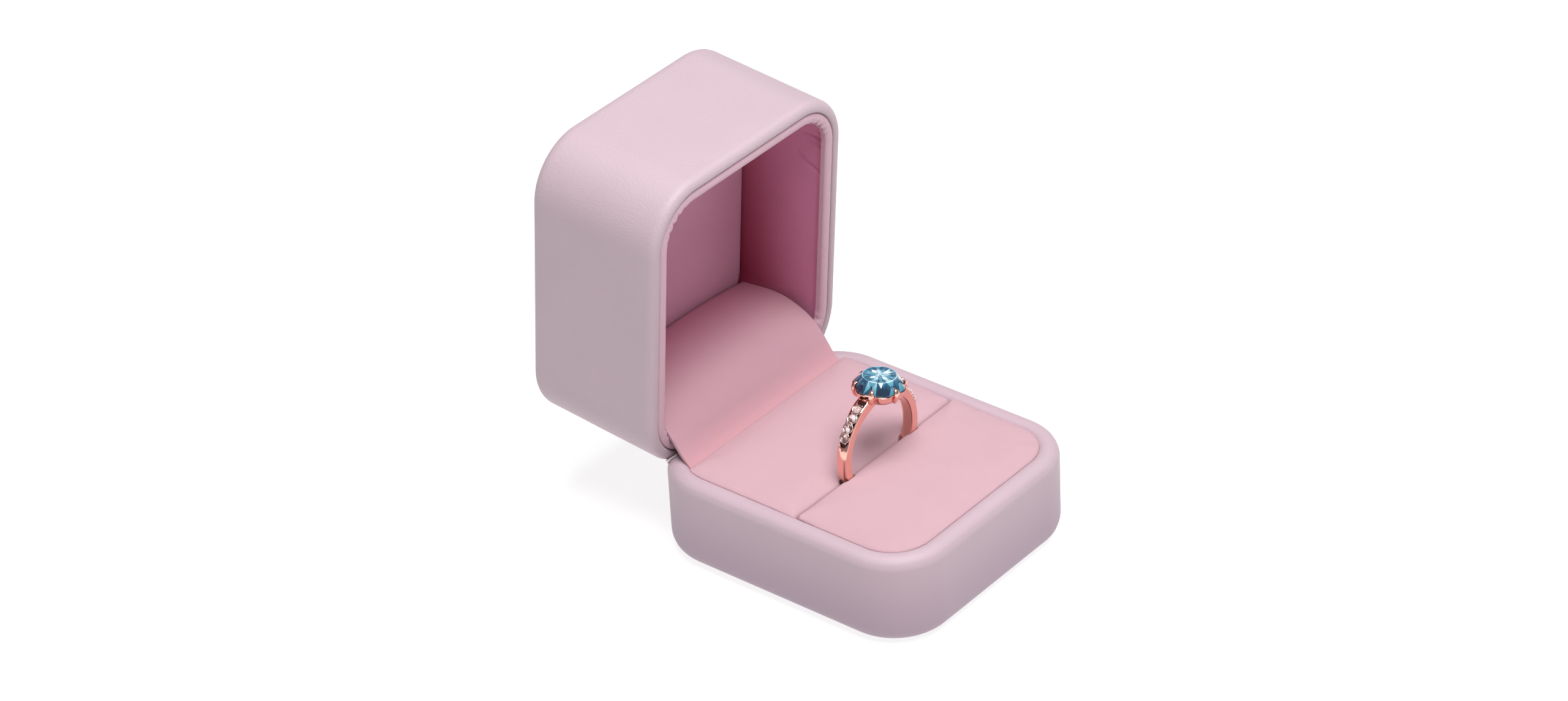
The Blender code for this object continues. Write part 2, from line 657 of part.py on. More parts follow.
def make_accents(band):
    """Small stones in a channel cut along each shoulder."""
    floor = RING_OUTER_RADIUS - 2 * ACCENT_RADIUS
    reach = (ACCENT_COUNT - 1) * ACCENT_STEP + 2 * ACCENT_STEP
    for side in (-1, 1):
        start = side * (ACCENT_FIRST - ACCENT_STEP)
        cutter = add_object(
            f"accent_channel_{side + 2}", sector_mesh(floor - GAP, ACCENT_RADIUS + GAP, start, side * reach)
        )
        hang(cutter, ring_seat)
        add_boolean(band, cutter)
        for number in range(ACCENT_COUNT):
            angle = side * (ACCENT_FIRST + number * ACCENT_STEP)
            out = Vector((math.sin(angle), 0, math.cos(angle)))
            low = RING_CENTRE + out * floor
            high = RING_CENTRE + out * (RING_OUTER_RADIUS + ACCENT_RADIUS / 2)
            index = number + 1 + (ACCENT_COUNT if side > 0 else 0)
            stone = add_object(f"accent_stone_{index}", cylinder_mesh(low, high, ACCENT_RADIUS, 10), diamond)
            hang(stone, ring_seat)


def make_ring():
    band = make_band()
    room = turned_mesh(head_room_section(), Matrix.Translation(RING_CENTRE), 2 * TURN_STEPS)
    head_room = add_object("head_room", room)
    add_boolean(band, head_room)
    for item in (band, head_room, make_basket(), make_stone()):
        hang(item, ring_seat)
    make_accents(band)


clear_scene()
parts = make_collection("ring_box")
cutters = make_collection("ring_box_cutters")

leather = make_material("pink_leather", (0.72, 0.52, 0.58), 0.5)
lining = make_material("mauve_lining", (0.42, 0.16, 0.25), 0.7)
velvet = make_material("pad_velvet", (0.80, 0.52, 0.58), 0.8)
plastic = make_material("shell_plastic", (0.75, 0.72, 0.70), 0.45)
card = make_material("grey_card", (0.55, 0.52, 0.48), 0.85)
bottom_cloth = make_material("bottom_cloth", (0.25, 0.18, 0.20), 0.9)
steel = make_material("spring_steel", (0.60, 0.60, 0.60), 0.3, 1.0)
gold = make_material("rose_gold", (0.85, 0.50, 0.38), 0.15, 1.0)
topaz = make_material("blue_topaz", (0.10, 0.45, 0.75), 0.05)
diamond = make_material("accent_stone", (0.90, 0.90, 0.92), 0.05)

lid_axis = make_empty("lid_axis", HINGE, Matrix.Rotation(-OPEN_ANGLE, 4, "X"))
ring_seat = make_empty("ring_seat", RING_CENTRE, Matrix.Rotation(RING_TILT, 4, "Y"))

base_shell = make_base_shell()
base_wrap = make_base_covering()
make_bottom_cover()
make_insert_board()
make_pads()

lid_shell = make_lid_shell()
lid_wrap = make_lid_covering()
collar = make_collar()
for piece in (lid_shell, lid_wrap, collar, make_wall_lining(), *make_lid_panel()):
    hang(piece, lid_axis)

make_hinge(base_shell, base_wrap, lid_shell, lid_wrap, collar)
make_hinge_cover()
make_ring()
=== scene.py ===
import json
import math

import bmesh
import bpy
import numpy as np
from mathutils import Matrix, Vector, noise


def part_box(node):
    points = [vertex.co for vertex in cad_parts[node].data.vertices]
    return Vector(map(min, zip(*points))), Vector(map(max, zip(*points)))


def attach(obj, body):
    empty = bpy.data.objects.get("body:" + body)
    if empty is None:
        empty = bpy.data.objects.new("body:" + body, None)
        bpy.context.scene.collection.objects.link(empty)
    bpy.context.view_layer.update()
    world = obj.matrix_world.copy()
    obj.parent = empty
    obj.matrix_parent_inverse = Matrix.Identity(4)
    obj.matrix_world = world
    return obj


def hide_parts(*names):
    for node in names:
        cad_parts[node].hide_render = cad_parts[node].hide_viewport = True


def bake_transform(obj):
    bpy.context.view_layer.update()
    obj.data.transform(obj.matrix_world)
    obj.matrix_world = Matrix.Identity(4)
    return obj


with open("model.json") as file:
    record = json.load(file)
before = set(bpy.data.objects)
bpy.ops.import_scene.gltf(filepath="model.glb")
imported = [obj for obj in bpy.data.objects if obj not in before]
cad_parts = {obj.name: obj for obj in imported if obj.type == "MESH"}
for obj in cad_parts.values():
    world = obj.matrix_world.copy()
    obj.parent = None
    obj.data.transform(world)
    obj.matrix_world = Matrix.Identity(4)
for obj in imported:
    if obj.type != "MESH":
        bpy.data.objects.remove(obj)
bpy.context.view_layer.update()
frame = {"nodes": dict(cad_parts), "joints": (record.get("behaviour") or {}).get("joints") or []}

mm = 0.001
scene = bpy.context.scene

# The hinge: the frame is packed with the lid open, and shapes in the lid are drawn shut and then opened
hinge = next(joint for joint in frame["joints"] if joint["name"] == "lid_hinge")
hingePoint = Vector(hinge["pos_m"])
openAngle = math.radians(hinge["range_deg"][0])
openLid = (Matrix.Translation(hingePoint) @ Matrix.Rotation(openAngle, 4, "X")
           @ Matrix.Translation(-hingePoint))
shutLid = openLid.inverted()


def shutBox(node):
    # lowest and highest corner of one of the lid's nodes with the lid shut
    corners = np.array([shutLid @ vertex.co for vertex in frame["nodes"][node].data.vertices])
    return Vector(corners.min(0)), Vector(corners.max(0))


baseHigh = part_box("base_wrap")[1]
lidLow, lidHigh = shutBox("lid_wrap")
boxShape = {
    "halfWidth": baseHigh.x, "halfDepth": baseHigh.y, "cornerRadius": 12 * mm,
    "step": 0.65 * mm,  # spacing of the points round the plan
}


# Camera

cameraSettings = {
    "azimuth": -49.53, "elevation": 33.04, "roll": -3.16,
    "aim": (0, 0, 18.333 * mm), "aside": -14.69 * mm, "above": 18.94 * mm,
    "distance": 904.1 * mm, "lens": 111.83,
}


def makeCamera(settings):
    azimuth, elevation = math.radians(settings["azimuth"]), math.radians(settings["elevation"])
    back = Vector((math.sin(azimuth) * math.cos(elevation), -math.cos(azimuth) * math.cos(elevation),
                   math.sin(elevation)))
    right = Vector((math.cos(azimuth), math.sin(azimuth), 0))
    turn = Matrix((right, back.cross(right), back)).transposed()
    turn = turn @ Matrix.Rotation(math.radians(settings["roll"]), 3, "Z")
    offset = Vector((settings["aside"], settings["above"], settings["distance"]))
    place = Vector(settings["aim"]) + turn @ offset
    data = bpy.data.cameras.new("camera")
    data.lens, data.sensor_width = settings["lens"], 36
    data.clip_start, data.clip_end = 0.05, 20
    camera = bpy.data.objects.new("camera", data)
    camera.matrix_world = Matrix.Translation(place) @ turn.to_4x4()
    scene.collection.objects.link(camera)
    scene.camera = camera


makeCamera(cameraSettings)
print("camera set")


# Materials


def newMaterial(name, color, roughness, **sockets):
    # a Principled material; every constant sits on the shader's own socket
    material = bpy.data.materials.new(name)
    material.use_nodes = True
    nodes, links = material.node_tree.nodes, material.node_tree.links
    shader = nodes["Principled BSDF"]
    shader.inputs["Base Color"].default_value = (*color, 1)
    shader.inputs["Roughness"].default_value = roughness
    for socket, value in sockets.items():
        shader.inputs[socket.replace("_", " ")].default_value = value
    return material, nodes, links, shader


def addNode(nodes, kind, **values):
    node = nodes.new(kind)
    for name, value in values.items():
        setattr(node, name, value)
    return node


def textureAt(nodes, links, kind, scale, coords, **inputs):
    texture = nodes.new(kind)
    texture.inputs["Scale"].default_value = scale
    for name, value in inputs.items():
        texture.inputs[name].default_value = value
    links.new(coords, texture.inputs["Vector"])
    return texture


def varyColor(nodes, links, shader, factor, colorA, colorB):
    ramp = nodes.new("ShaderNodeMix")
    ramp.data_type = "RGBA"
    links.new(factor, ramp.inputs["Factor"])
    ramp.inputs["A"].default_value = (*colorA, 1)
    ramp.inputs["B"].default_value = (*colorB, 1)
    links.new(ramp.outputs["Result"], shader.inputs["Base Color"])
    return ramp.outputs["Result"]


def textureAxis(nodes, links, coords, along, start, end):
    # 0 at start and 1 at end, in metres along a direction
    dot = addNode(nodes, "ShaderNodeVectorMath", operation="DOT_PRODUCT")
    links.new(coords, dot.inputs[0])
    dot.inputs[1].default_value = along
    span = addNode(nodes, "ShaderNodeMapRange", interpolation_type="SMOOTHSTEP")
    links.new(dot.outputs["Value"], span.inputs["Value"])
    span.inputs["From Min"].default_value = start
    span.inputs["From Max"].default_value = end
    return span.outputs["Result"]


def paintLightAndShade(nodes, links, coords, tone, paintedShading):
    # painted light and shade: the tone moves from one place to another
    for shift in paintedShading:
        reach = textureAxis(nodes, links, coords, shift["along"], shift["start"], shift["end"])
        other = addNode(nodes, "ShaderNodeMix", data_type="RGBA")
        links.new(reach, other.inputs["Factor"])
        links.new(tone, other.inputs["A"])
        other.inputs["B"].default_value = (*shift["color"], 1)
        tone = other.outputs["Result"]
    return tone


def varyRoughness(nodes, links, shader, factor, low, high):
    span = nodes.new("ShaderNodeMapRange")
    links.new(factor, span.inputs["Value"])
    span.inputs["To Min"].default_value = low
    span.inputs["To Max"].default_value = high
    links.new(span.outputs["Result"], shader.inputs["Roughness"])


def addBumps(nodes, links, shader, layers):
    # each layer is (height socket, depth in metres, strength)
    last = None
    for height, depth, strength in layers:
        bump = nodes.new("ShaderNodeBump")
        bump.inputs["Distance"].default_value = depth
        bump.inputs["Strength"].default_value = strength
        links.new(height, bump.inputs["Height"])
        if last:
            links.new(last.outputs["Normal"], bump.inputs["Normal"])
        last = bump
    links.new(last.outputs["Normal"], shader.inputs["Normal"])


def makeLeather(name, settings):
    material, nodes, links, shader = newMaterial(
        name, settings["color"], settings["roughness"],
        Specular_IOR_Level=0.4, Sheen_Weight=settings["sheen"], Sheen_Roughness=0.5,
    )
    place = nodes.new("ShaderNodeTexCoord").outputs["Object"]
    pebbles = textureAt(nodes, links, "ShaderNodeTexVoronoi", settings["grain"], place, Randomness=1.0)
    pebbles.feature = "SMOOTH_F1"
    pebbles.inputs["Smoothness"].default_value = 0.6
    pores = textureAt(nodes, links, "ShaderNodeTexNoise", settings["grain"] * 2.3, place, Detail=3.0)
    clouds = textureAt(nodes, links, "ShaderNodeTexNoise", 70, place, Detail=2.0)
    dark = [channel * 0.93 for channel in settings["color"]]
    tone = varyColor(nodes, links, shader, clouds.outputs["Fac"], dark, settings["color"])
    tone = paintLightAndShade(nodes, links, place, tone, settings.get("paintedShading", ()))
    links.new(tone, shader.inputs["Base Color"])
    varyRoughness(nodes, links, shader, pores.outputs["Fac"], settings["roughness"] - 0.06,
                  settings["roughness"] + 0.08)
    addBumps(nodes, links, shader, [(clouds.outputs["Fac"], 0.1 * mm, 0.25),
                                    (pebbles.outputs["Distance"], settings["depth"], 0.45),
                                    (pores.outputs["Fac"], settings["depth"] * 0.5, 0.35)])
    return material


def makeSuede(name, settings):
    material, nodes, links, shader = newMaterial(
        name, settings["color"], settings["roughness"],
        Specular_IOR_Level=0.2, Sheen_Weight=settings["sheen"], Sheen_Roughness=0.4,
    )
    shader.inputs["Sheen Tint"].default_value = (*settings["sheenTint"], 1)
    place = nodes.new("ShaderNodeTexCoord").outputs["Object"]
    nap = textureAt(nodes, links, "ShaderNodeTexNoise", 5200, place, Detail=2.0)
    brushed = textureAt(nodes, links, "ShaderNodeTexNoise", 160, place, Detail=3.0)
    dark = [channel * 0.94 for channel in settings["color"]]
    tone = varyColor(nodes, links, shader, brushed.outputs["Fac"], dark, settings["color"])
    tone = paintLightAndShade(nodes, links, place, tone, settings.get("paintedShading", ()))
    links.new(tone, shader.inputs["Base Color"])
    addBumps(nodes, links, shader, [(brushed.outputs["Fac"], 0.08 * mm, 0.3),
                                    (nap.outputs["Fac"], 0.05 * mm, 0.4)])
    return material


def makeMetal(name, settings):
    material, nodes, links, shader = newMaterial(name, settings["color"], settings["roughness"], Metallic=1.0)
    place = nodes.new("ShaderNodeTexCoord").outputs["Object"]
    polish = textureAt(nodes, links, "ShaderNodeTexNoise", settings["scale"], place, Detail=4.0)
    varyRoughness(nodes, links, shader, polish.outputs["Fac"], settings["roughness"] * 0.7,
                  settings["roughness"] * 1.4)
    addBumps(nodes, links, shader, [(polish.outputs["Fac"], settings["depth"], 0.2)])
    return material


def makeBoard(name, settings):
    # moulded plastic and card: fine noise in colour, gloss and height
    material, nodes, links, shader = newMaterial(name, settings["color"], settings["roughness"])
    place = nodes.new("ShaderNodeTexCoord").outputs["Object"]
    flecks = textureAt(nodes, links, "ShaderNodeTexNoise", settings["scale"], place, Detail=5.0)
    dark = [channel * settings["fleck"] for channel in settings["color"]]
    varyColor(nodes, links, shader, flecks.outputs["Fac"], dark, settings["color"])
    varyRoughness(nodes, links, shader, flecks.outputs["Fac"], settings["roughness"] - 0.08,
                  settings["roughness"])
    addBumps(nodes, links, shader, [(flecks.outputs["Fac"], settings["depth"], 0.3)])
    return material


def makeBottomCloth(name, color):
    # plain weave from two crossed waves
    material, nodes, links, shader = newMaterial(name, color, 0.9, Sheen_Weight=0.3)
    place = nodes.new("ShaderNodeTexCoord").outputs["Object"]
    threads = []
    for direction in ("X", "Y"):
        wave = textureAt(nodes, links, "ShaderNodeTexWave", 420, place)
        wave.bands_direction = direction
        threads.append(wave.outputs["Fac"])
    weave = addNode(nodes, "ShaderNodeMath", operation="MULTIPLY")
    for socket, thread in zip(weave.inputs, threads):
        links.new(thread, socket)
    varyColor(nodes, links, shader, weave.outputs[0], [channel * 0.6 for channel in color], color)
    addBumps(nodes, links, shader, [(weave.outputs[0], 0.1 * mm, 0.6)])
    return material


def makeGem(name, settings, centre, turn, radius):
    # cut stone: wedges that fan out from the middle, with painted reflections and glints on the facets, bright
    # inside the table and painted shade deep towards the edge
    material, nodes, links, shader = newMaterial(
        name, settings["edge"], 0.03, IOR=1.62, Coat_Weight=1.0, Coat_Roughness=0.02,
        Transmission_Weight=settings["clear"],
    )
    place = nodes.new("ShaderNodeTexCoord").outputs["Object"]
    mapping = nodes.new("ShaderNodeMapping")
    mapping.vector_type = "TEXTURE"
    mapping.inputs["Location"].default_value = centre
    mapping.inputs["Rotation"].default_value = turn
    mapping.inputs["Scale"].default_value = (radius, radius, radius)
    links.new(place, mapping.inputs["Vector"])
    apart = addNode(nodes, "ShaderNodeSeparateXYZ")
    links.new(mapping.outputs["Vector"], apart.inputs[0])

    def calculate(operation, *values):
        node = addNode(nodes, "ShaderNodeMath", operation=operation)
        for socket, value in zip(node.inputs, values):
            if isinstance(value, (int, float)):
                socket.default_value = value
            else:
                links.new(value, socket)
        return node.outputs[0]

    x, y = apart.outputs[0], apart.outputs[1]
    squares = calculate("ADD", calculate("MULTIPLY", x, x), calculate("MULTIPLY", y, y))
    reach = calculate("SQRT", squares)
    around = calculate("MULTIPLY", calculate("ARCTAN2", y, x), settings["wedges"] / (2 * math.pi))
    ring = calculate("MULTIPLY", reach, settings["rings"])
    cellPlace = nodes.new("ShaderNodeCombineXYZ")
    saw = calculate("MULTIPLY", calculate("PINGPONG", around, 0.5), settings["zigzag"])
    rising, falling = calculate("ADD", ring, saw), calculate("SUBTRACT", ring, calculate("MULTIPLY", saw, 0.7))
    for socket, value in zip(cellPlace.inputs, (around, rising, falling)):
        links.new(calculate("FLOOR", value), socket)
    chance = nodes.new("ShaderNodeTexWhiteNoise")
    links.new(cellPlace.outputs[0], chance.inputs["Vector"])
    facets = calculate("MULTIPLY", chance.outputs["Value"], settings["contrast"])
    # painted shade: the tone darkens towards the stone's edge
    depth = calculate("MULTIPLY_ADD", calculate("POWER", reach, 1.6), -settings["fade"], settings["lift"])
    tableHighlight = calculate("COMPARE", reach, settings["table"], 0.02)  # a painted highlight: a bright line round the table
    tone = calculate("ADD", calculate("ADD", facets, depth), calculate("MULTIPLY", tableHighlight, 0.35))
    ramp = nodes.new("ShaderNodeValToRGB")
    stops = ramp.color_ramp.elements
    stops[0].position, stops[0].color = 0.05, (*settings["deep"], 1)
    stops[1].position, stops[1].color = 0.97, (*settings["paintedGlint"], 1)
    for position, color in ((0.35, settings["edge"]), (0.66, settings["middle"])):
        stops.new(position).color = (*color, 1)
    links.new(tone, ramp.inputs[0])
    links.new(ramp.outputs["Color"], shader.inputs["Base Color"])
    return material


leatherSettings = {
    "color": (0.475, 0.365, 0.405), "roughness": 0.52, "sheen": 0.08, "grain": 2100, "depth": 0.10 * mm,
}
baseLeatherSettings = {
    "color": (0.48, 0.365, 0.41), "roughness": 0.55, "sheen": 0.08, "grain": 2600, "depth": 0.035 * mm,
    # painted shade: the base leather darkens towards the bottom
    "paintedShading": ({"along": (0, 0, 1), "start": 17 * mm, "end": 3 * mm, "color": (0.375, 0.28, 0.335)},),
}
# the collar leather is partly a lighter leather and partly painted light: a lighter, pinker copy of the lid
# leather that brightens the bead and tints its shaded inner side pink
collarLeatherSettings = {
    "color": (0.55, 0.36, 0.42), "roughness": 0.55, "sheen": 0.08, "grain": 2300, "depth": 0.09 * mm,
}
suedeSettings = {
    "color": (0.51, 0.333, 0.372), "roughness": 0.85, "sheen": 0.1, "sheenTint": (1.0, 0.8, 0.85),
}
liningSettings = {
    "color": (0.62, 0.315, 0.43), "roughness": 0.8, "sheen": 0.08, "sheenTint": (1.0, 0.75, 0.8),
}
# painted shade: the wall lining is a deeper, more saturated copy of the lining suede, standing in for the
# shade and pink light bounced round inside the lid, and it darkens further deeper into the lid
shadedWallSettings = {
    "color": (0.60, 0.24, 0.37), "roughness": 0.8, "sheen": 0.05, "sheenTint": (1.0, 0.75, 0.8),
    "paintedShading": ({"along": (0, 1, -0.12), "start": 25 * mm, "end": 46 * mm, "color": (0.29, 0.03, 0.072)},),
}
# painted light and shade: the hinge cover's suede is a darker copy of the pad suede, lighter on the low front
# slope and darker and deeper in tone further back under the lid
coverLitShadedSettings = {
    "color": (0.49, 0.285, 0.335), "roughness": 0.85, "sheen": 0.1, "sheenTint": (1.0, 0.8, 0.85),
    "paintedShading": ({"along": (0, 0.6, 0.8), "start": 34 * mm, "end": 29 * mm, "color": (0.54, 0.30, 0.335)},
               {"along": (0, 1, 0), "start": 31 * mm, "end": 47 * mm, "color": (0.47, 0.19, 0.27)}),
}
goldSettings = {"color": (0.93, 0.52, 0.42), "roughness": 0.13, "scale": 900, "depth": 0.01 * mm}
silverSettings = {"color": (0.78, 0.64, 0.61), "roughness": 0.12, "scale": 900, "depth": 0.01 * mm}
# painted shade: a dark metal for the channel floors under the accent stones
channelShadeSettings = {"color": (0.10, 0.045, 0.04), "roughness": 0.3, "scale": 900, "depth": 0.01 * mm}
steelSettings = {"color": (0.60, 0.60, 0.61), "roughness": 0.3, "scale": 600, "depth": 0.02 * mm}
plasticSettings = {
    "color": (0.36, 0.12, 0.18), "roughness": 0.5, "scale": 300, "fleck": 0.96, "depth": 0.02 * mm,
}
cardSettings = {
    "color": (0.50, 0.47, 0.42), "roughness": 0.9, "scale": 900, "fleck": 0.8, "depth": 0.05 * mm,
}

lidLeather = makeLeather("lidLeather", leatherSettings)
baseLeather = makeLeather("baseLeather", baseLeatherSettings)
collarLeather = makeLeather("collarLeather", collarLeatherSettings)
padSuede = makeSuede("padSuede", suedeSettings)
liningSuede = makeSuede("liningSuede", liningSettings)
roseGold = makeMetal("roseGold", goldSettings)
whiteGold = makeMetal("whiteGold", silverSettings)
channelShadeMetal = makeMetal("channelShadeMetal", channelShadeSettings)
springSteel = makeMetal("springSteel", steelSettings)
shellPlastic = makeBoard("shellPlastic", plasticSettings)
greyCard = makeBoard("greyCard", cardSettings)
shadedWallSuede = makeSuede("shadedWallSuede", shadedWallSettings)
coverLitShadedSuede = makeSuede("coverLitShadedSuede", coverLitShadedSettings)
bottomCloth = makeBottomCloth("bottomCloth", (0.16, 0.09, 0.11))
print("materials made")


# Mesh helpers


def makeObject(name, mesh, material, smooth=True):
    mesh.materials.clear()
    mesh.materials.append(material)
    if smooth:
        mesh.shade_smooth()
    piece = bpy.data.objects.new(name, mesh)
    scene.collection.objects.link(piece)
    return piece


def outwardMesh(name, points, faces):
    mesh = bpy.data.meshes.new(name)
    mesh.from_pydata([tuple(point) for point in points], [], faces)
    work = bmesh.new()
    work.from_mesh(mesh)
    bmesh.ops.remove_doubles(work, verts=work.verts, dist=1e-7)
    bmesh.ops.recalc_face_normals(work, faces=work.faces)
    work.to_mesh(mesh)
    work.free()
    return mesh


def loft(name, rings, closeAlong=False, closeAround=True, capFirst=False, capLast=False):
    # joins rows of equally many points into one surface; a cap is a fan to the row's middle
    rings = np.asarray(rings, float)
    rows, columns = rings.shape[:2]
    points = rings.reshape(-1, 3).tolist()
    faces = []
    for row in range(rows if closeAlong else rows - 1):
        start, after = row * columns, (row + 1) % rows * columns
        for column in range(columns if closeAround else columns - 1):
            beside = (column + 1) % columns
            faces.append((start + column, start + beside, after + beside, after + column))
    for wanted, row in ((capFirst, 0), (capLast, rows - 1)):
        if wanted:
            points.append(rings[row].mean(0).tolist())
            first, middle = row * columns, len(points) - 1
            faces += [(first + column, first + (column + 1) % columns, middle) for column in range(columns)]
    return outwardMesh(name, points, faces)


def planOutline(halfX, frontY, rearY, frontRadius, rearRadius, step):
    # points and outward normals of a rounded rectangle, anticlockwise from the rear right corner
    corners = [(halfX, rearY, rearRadius, 0), (-halfX, rearY, rearRadius, 90),
               (-halfX, frontY, frontRadius, 180), (halfX, frontY, frontRadius, 270)]
    points, normals = [], []
    for x, y, radius, first in corners:
        centre = np.array((x - math.copysign(radius, x), y - (radius if first < 180 else -radius)))
        count = max(4, round(radius * math.pi / 2 / step))
        arc = [math.radians(first + 90 * k / count) for k in range(count + 1)]
        turned = [np.array((math.cos(angle), math.sin(angle))) for angle in arc]
        if points:
            gap = centre + radius * turned[0] - points[-1]
            steps = max(1, round(np.linalg.norm(gap) / step))
            start = points[-1]
            points += [start + gap * k / steps for k in range(1, steps)]
            normals += [turned[0]] * (steps - 1)
        points += [centre + radius * way for way in turned]
        normals += turned
    gap, start = points[0] - points[-1], points[-1]
    steps = max(1, round(np.linalg.norm(gap) / step))
    points += [start + gap * k / steps for k in range(1, steps)]
    normals += [normals[0]] * (steps - 1)
    return np.array(points), np.array(normals)


def boxOutline(step=boxShape["step"]):
    half, radius = boxShape["halfDepth"], boxShape["cornerRadius"]
    return planOutline(boxShape["halfWidth"], -half, half, radius, radius, step)


def sweptRings(section, outline):
    # a section of (inset, height) points carried round a plan outline
    points, normals = outline
    return [np.column_stack([points - normals * inset, np.full(len(points), height)])
            for inset, height in section]


def arcPoints(centre, radius, start, end, count):
    angles = np.radians(np.linspace(start, end, count + 1))
    return [(centre[0] + radius * math.cos(angle), centre[1] + radius * math.sin(angle))
            for angle in angles]


def linePoints(start, end, count):
    # points between two, without either end
    start, end = np.array(start), np.array(end)
    return [tuple(start + (end - start) * k / count) for k in range(1, count)]


def insetOf(x, y):
    # how far inside the box's plan a point is, and the way out from it
    radius = boxShape["cornerRadius"]
    qx = abs(x) - (boxShape["halfWidth"] - radius)
    qy = abs(y) - (boxShape["halfDepth"] - radius)
    if qx > 0 and qy > 0:
        reach = math.hypot(qx, qy)
        way = (math.copysign(qx / reach, x), math.copysign(qy / reach, y))
        return radius - reach, way
    if qx > qy:
        return radius - qx, (math.copysign(1, x), 0)
    return radius - qy, (0, math.copysign(1, y))


def ripple(point, scale, seed):
    return noise.noise(Vector(point) * scale + Vector((seed, seed * 2.3, -seed)))


def smoothstep(value):
    value = min(max(value, 0.0), 1.0)
    return value * value * (3 - 2 * value)


def blockMesh(low, high):
    work = bmesh.new()
    bmesh.ops.create_cube(work, size=1.0)
    low, high = Vector(low), Vector(high)
    bmesh.ops.scale(work, vec=high - low, verts=work.verts)
    bmesh.ops.translate(work, vec=(low + high) / 2, verts=work.verts)
    mesh = bpy.data.meshes.new("block")
    work.to_mesh(mesh)
    work.free()
    return mesh


def bakeModifiers(piece):
    # the evaluated mesh becomes the piece's own, and the modifiers go
    bpy.context.view_layer.update()
    graph = bpy.context.evaluated_depsgraph_get()
    mesh = bpy.data.meshes.new_from_object(piece.evaluated_get(graph))
    piece.modifiers.clear()
    old, piece.data = piece.data, mesh
    bpy.data.meshes.remove(old)


def cutAway(piece, cutterMeshes):
    cutters = []
    for number, mesh in enumerate(cutterMeshes):
        cutter = bpy.data.objects.new(f"cutter{number}", mesh)
        scene.collection.objects.link(cutter)
        cutters.append(cutter)
        modifier = piece.modifiers.new(f"cut{number}", "BOOLEAN")
        modifier.object, modifier.operation, modifier.solver = cutter, "DIFFERENCE", "EXACT"
    bakeModifiers(piece)
    for cutter in cutters:
        bpy.data.objects.remove(cutter, do_unlink=True)


# Coverings

coveringSettings = {
    "thickness": 0.9 * mm, "rimWidth": 4.3 * mm, "outerRound": 2.4 * mm, "innerRound": 1.8 * mm,
    "bottomRound": 3.9 * mm, "turnIn": 6 * mm, "lipDepth": 6 * mm, "sway": 0.05 * mm,
    "lidRimWidth": 2.3 * mm, "lidRimRound": 1.65 * mm, "lidInnerRound": 0.55 * mm, "grooveDepth": 0.9 * mm,
    "lidTopRound": 2.75 * mm, "lidThickness": 0.5 * mm,
    "reliefGap": 0.2 * mm, "hingeHalf": 15.3 * mm, "knuckleRoom": 1.65 * mm,
    "facingHalf": 23.2 * mm, "facingThickness": 0.12 * mm,
}


def reliefCutter(side):
    # the wedge behind the hinge axis: side 1 cuts the base, side -1 the lid
    slope = math.tan(-openAngle / 2)
    drop = coveringSettings["reliefGap"] / math.cos(openAngle / 2)
    reach = 12 * mm
    profile = [(0, -drop), (reach, -drop - reach * slope), (reach, reach), (0, reach)]
    rows = [[(x, hingePoint.y + y, hingePoint.z + side * z) for y, z in profile] for x in (-40 * mm, 40 * mm)]
    return loft("relief", rows, capFirst=True, capLast=True)


def knuckleCutter():
    half, radius = coveringSettings["hingeHalf"], coveringSettings["knuckleRoom"]
    angles = np.linspace(0, 2 * math.pi, 33)[:-1]
    rows = [[(x, hingePoint.y + radius * math.cos(a), hingePoint.z + radius * math.sin(a)) for a in angles]
            for x in (-half, half)]
    return loft("knuckles", rows, capFirst=True, capLast=True)


def baseContour(depth):
    s, top = coveringSettings, baseHigh.z
    bottom = arcPoints((s["bottomRound"], s["bottomRound"]), s["bottomRound"] - depth, 270, 180, 12)
    outer = arcPoints((s["outerRound"], top - s["outerRound"]), s["outerRound"] - depth, 180, 90, 12)
    innerCentre = (s["rimWidth"] - s["innerRound"], top - s["innerRound"])
    inner = arcPoints(innerCentre, s["innerRound"] - depth, 90, 0, 10)
    lip = (s["rimWidth"] - depth, top - s["lipDepth"])
    start = (s["turnIn"], depth)
    return [start, *linePoints(start, bottom[0], 3), *bottom, *linePoints(bottom[-1], outer[0], 12), *outer,
            *inner, *linePoints(inner[-1], lip, 5), lip]


def makeBaseCovering():
    s = coveringSettings
    section = baseContour(0) + baseContour(s["thickness"])[::-1]
    mesh = loft("baseCovering", sweptRings(section, boxOutline()), closeAlong=True)
    for vertex in mesh.vertices:
        inset, way = insetOf(vertex.co.x, vertex.co.y)
        if inset < s["thickness"] * 0.5 and vertex.co.z > s["bottomRound"] * 0.4:
            lift = s["sway"] * ripple(vertex.co, 90, 3.1) - s["sway"]
            vertex.co.x += way[0] * lift
            vertex.co.y += way[1] * lift
    piece = makeObject("baseCovering", mesh, baseLeather)
    notch = blockMesh((-s["hingeHalf"], hingePoint.y - 1.6 * mm, hingePoint.z - 9.2 * mm),
                      (s["hingeHalf"], hingePoint.y, hingePoint.z + 9 * mm))
    cutAway(piece, [reliefCutter(1), knuckleCutter(), notch])
    piece.data.shade_smooth()
    piece.data.set_sharp_from_angle(angle=math.radians(40))
    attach(piece, "base")
    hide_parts("base_wrap")


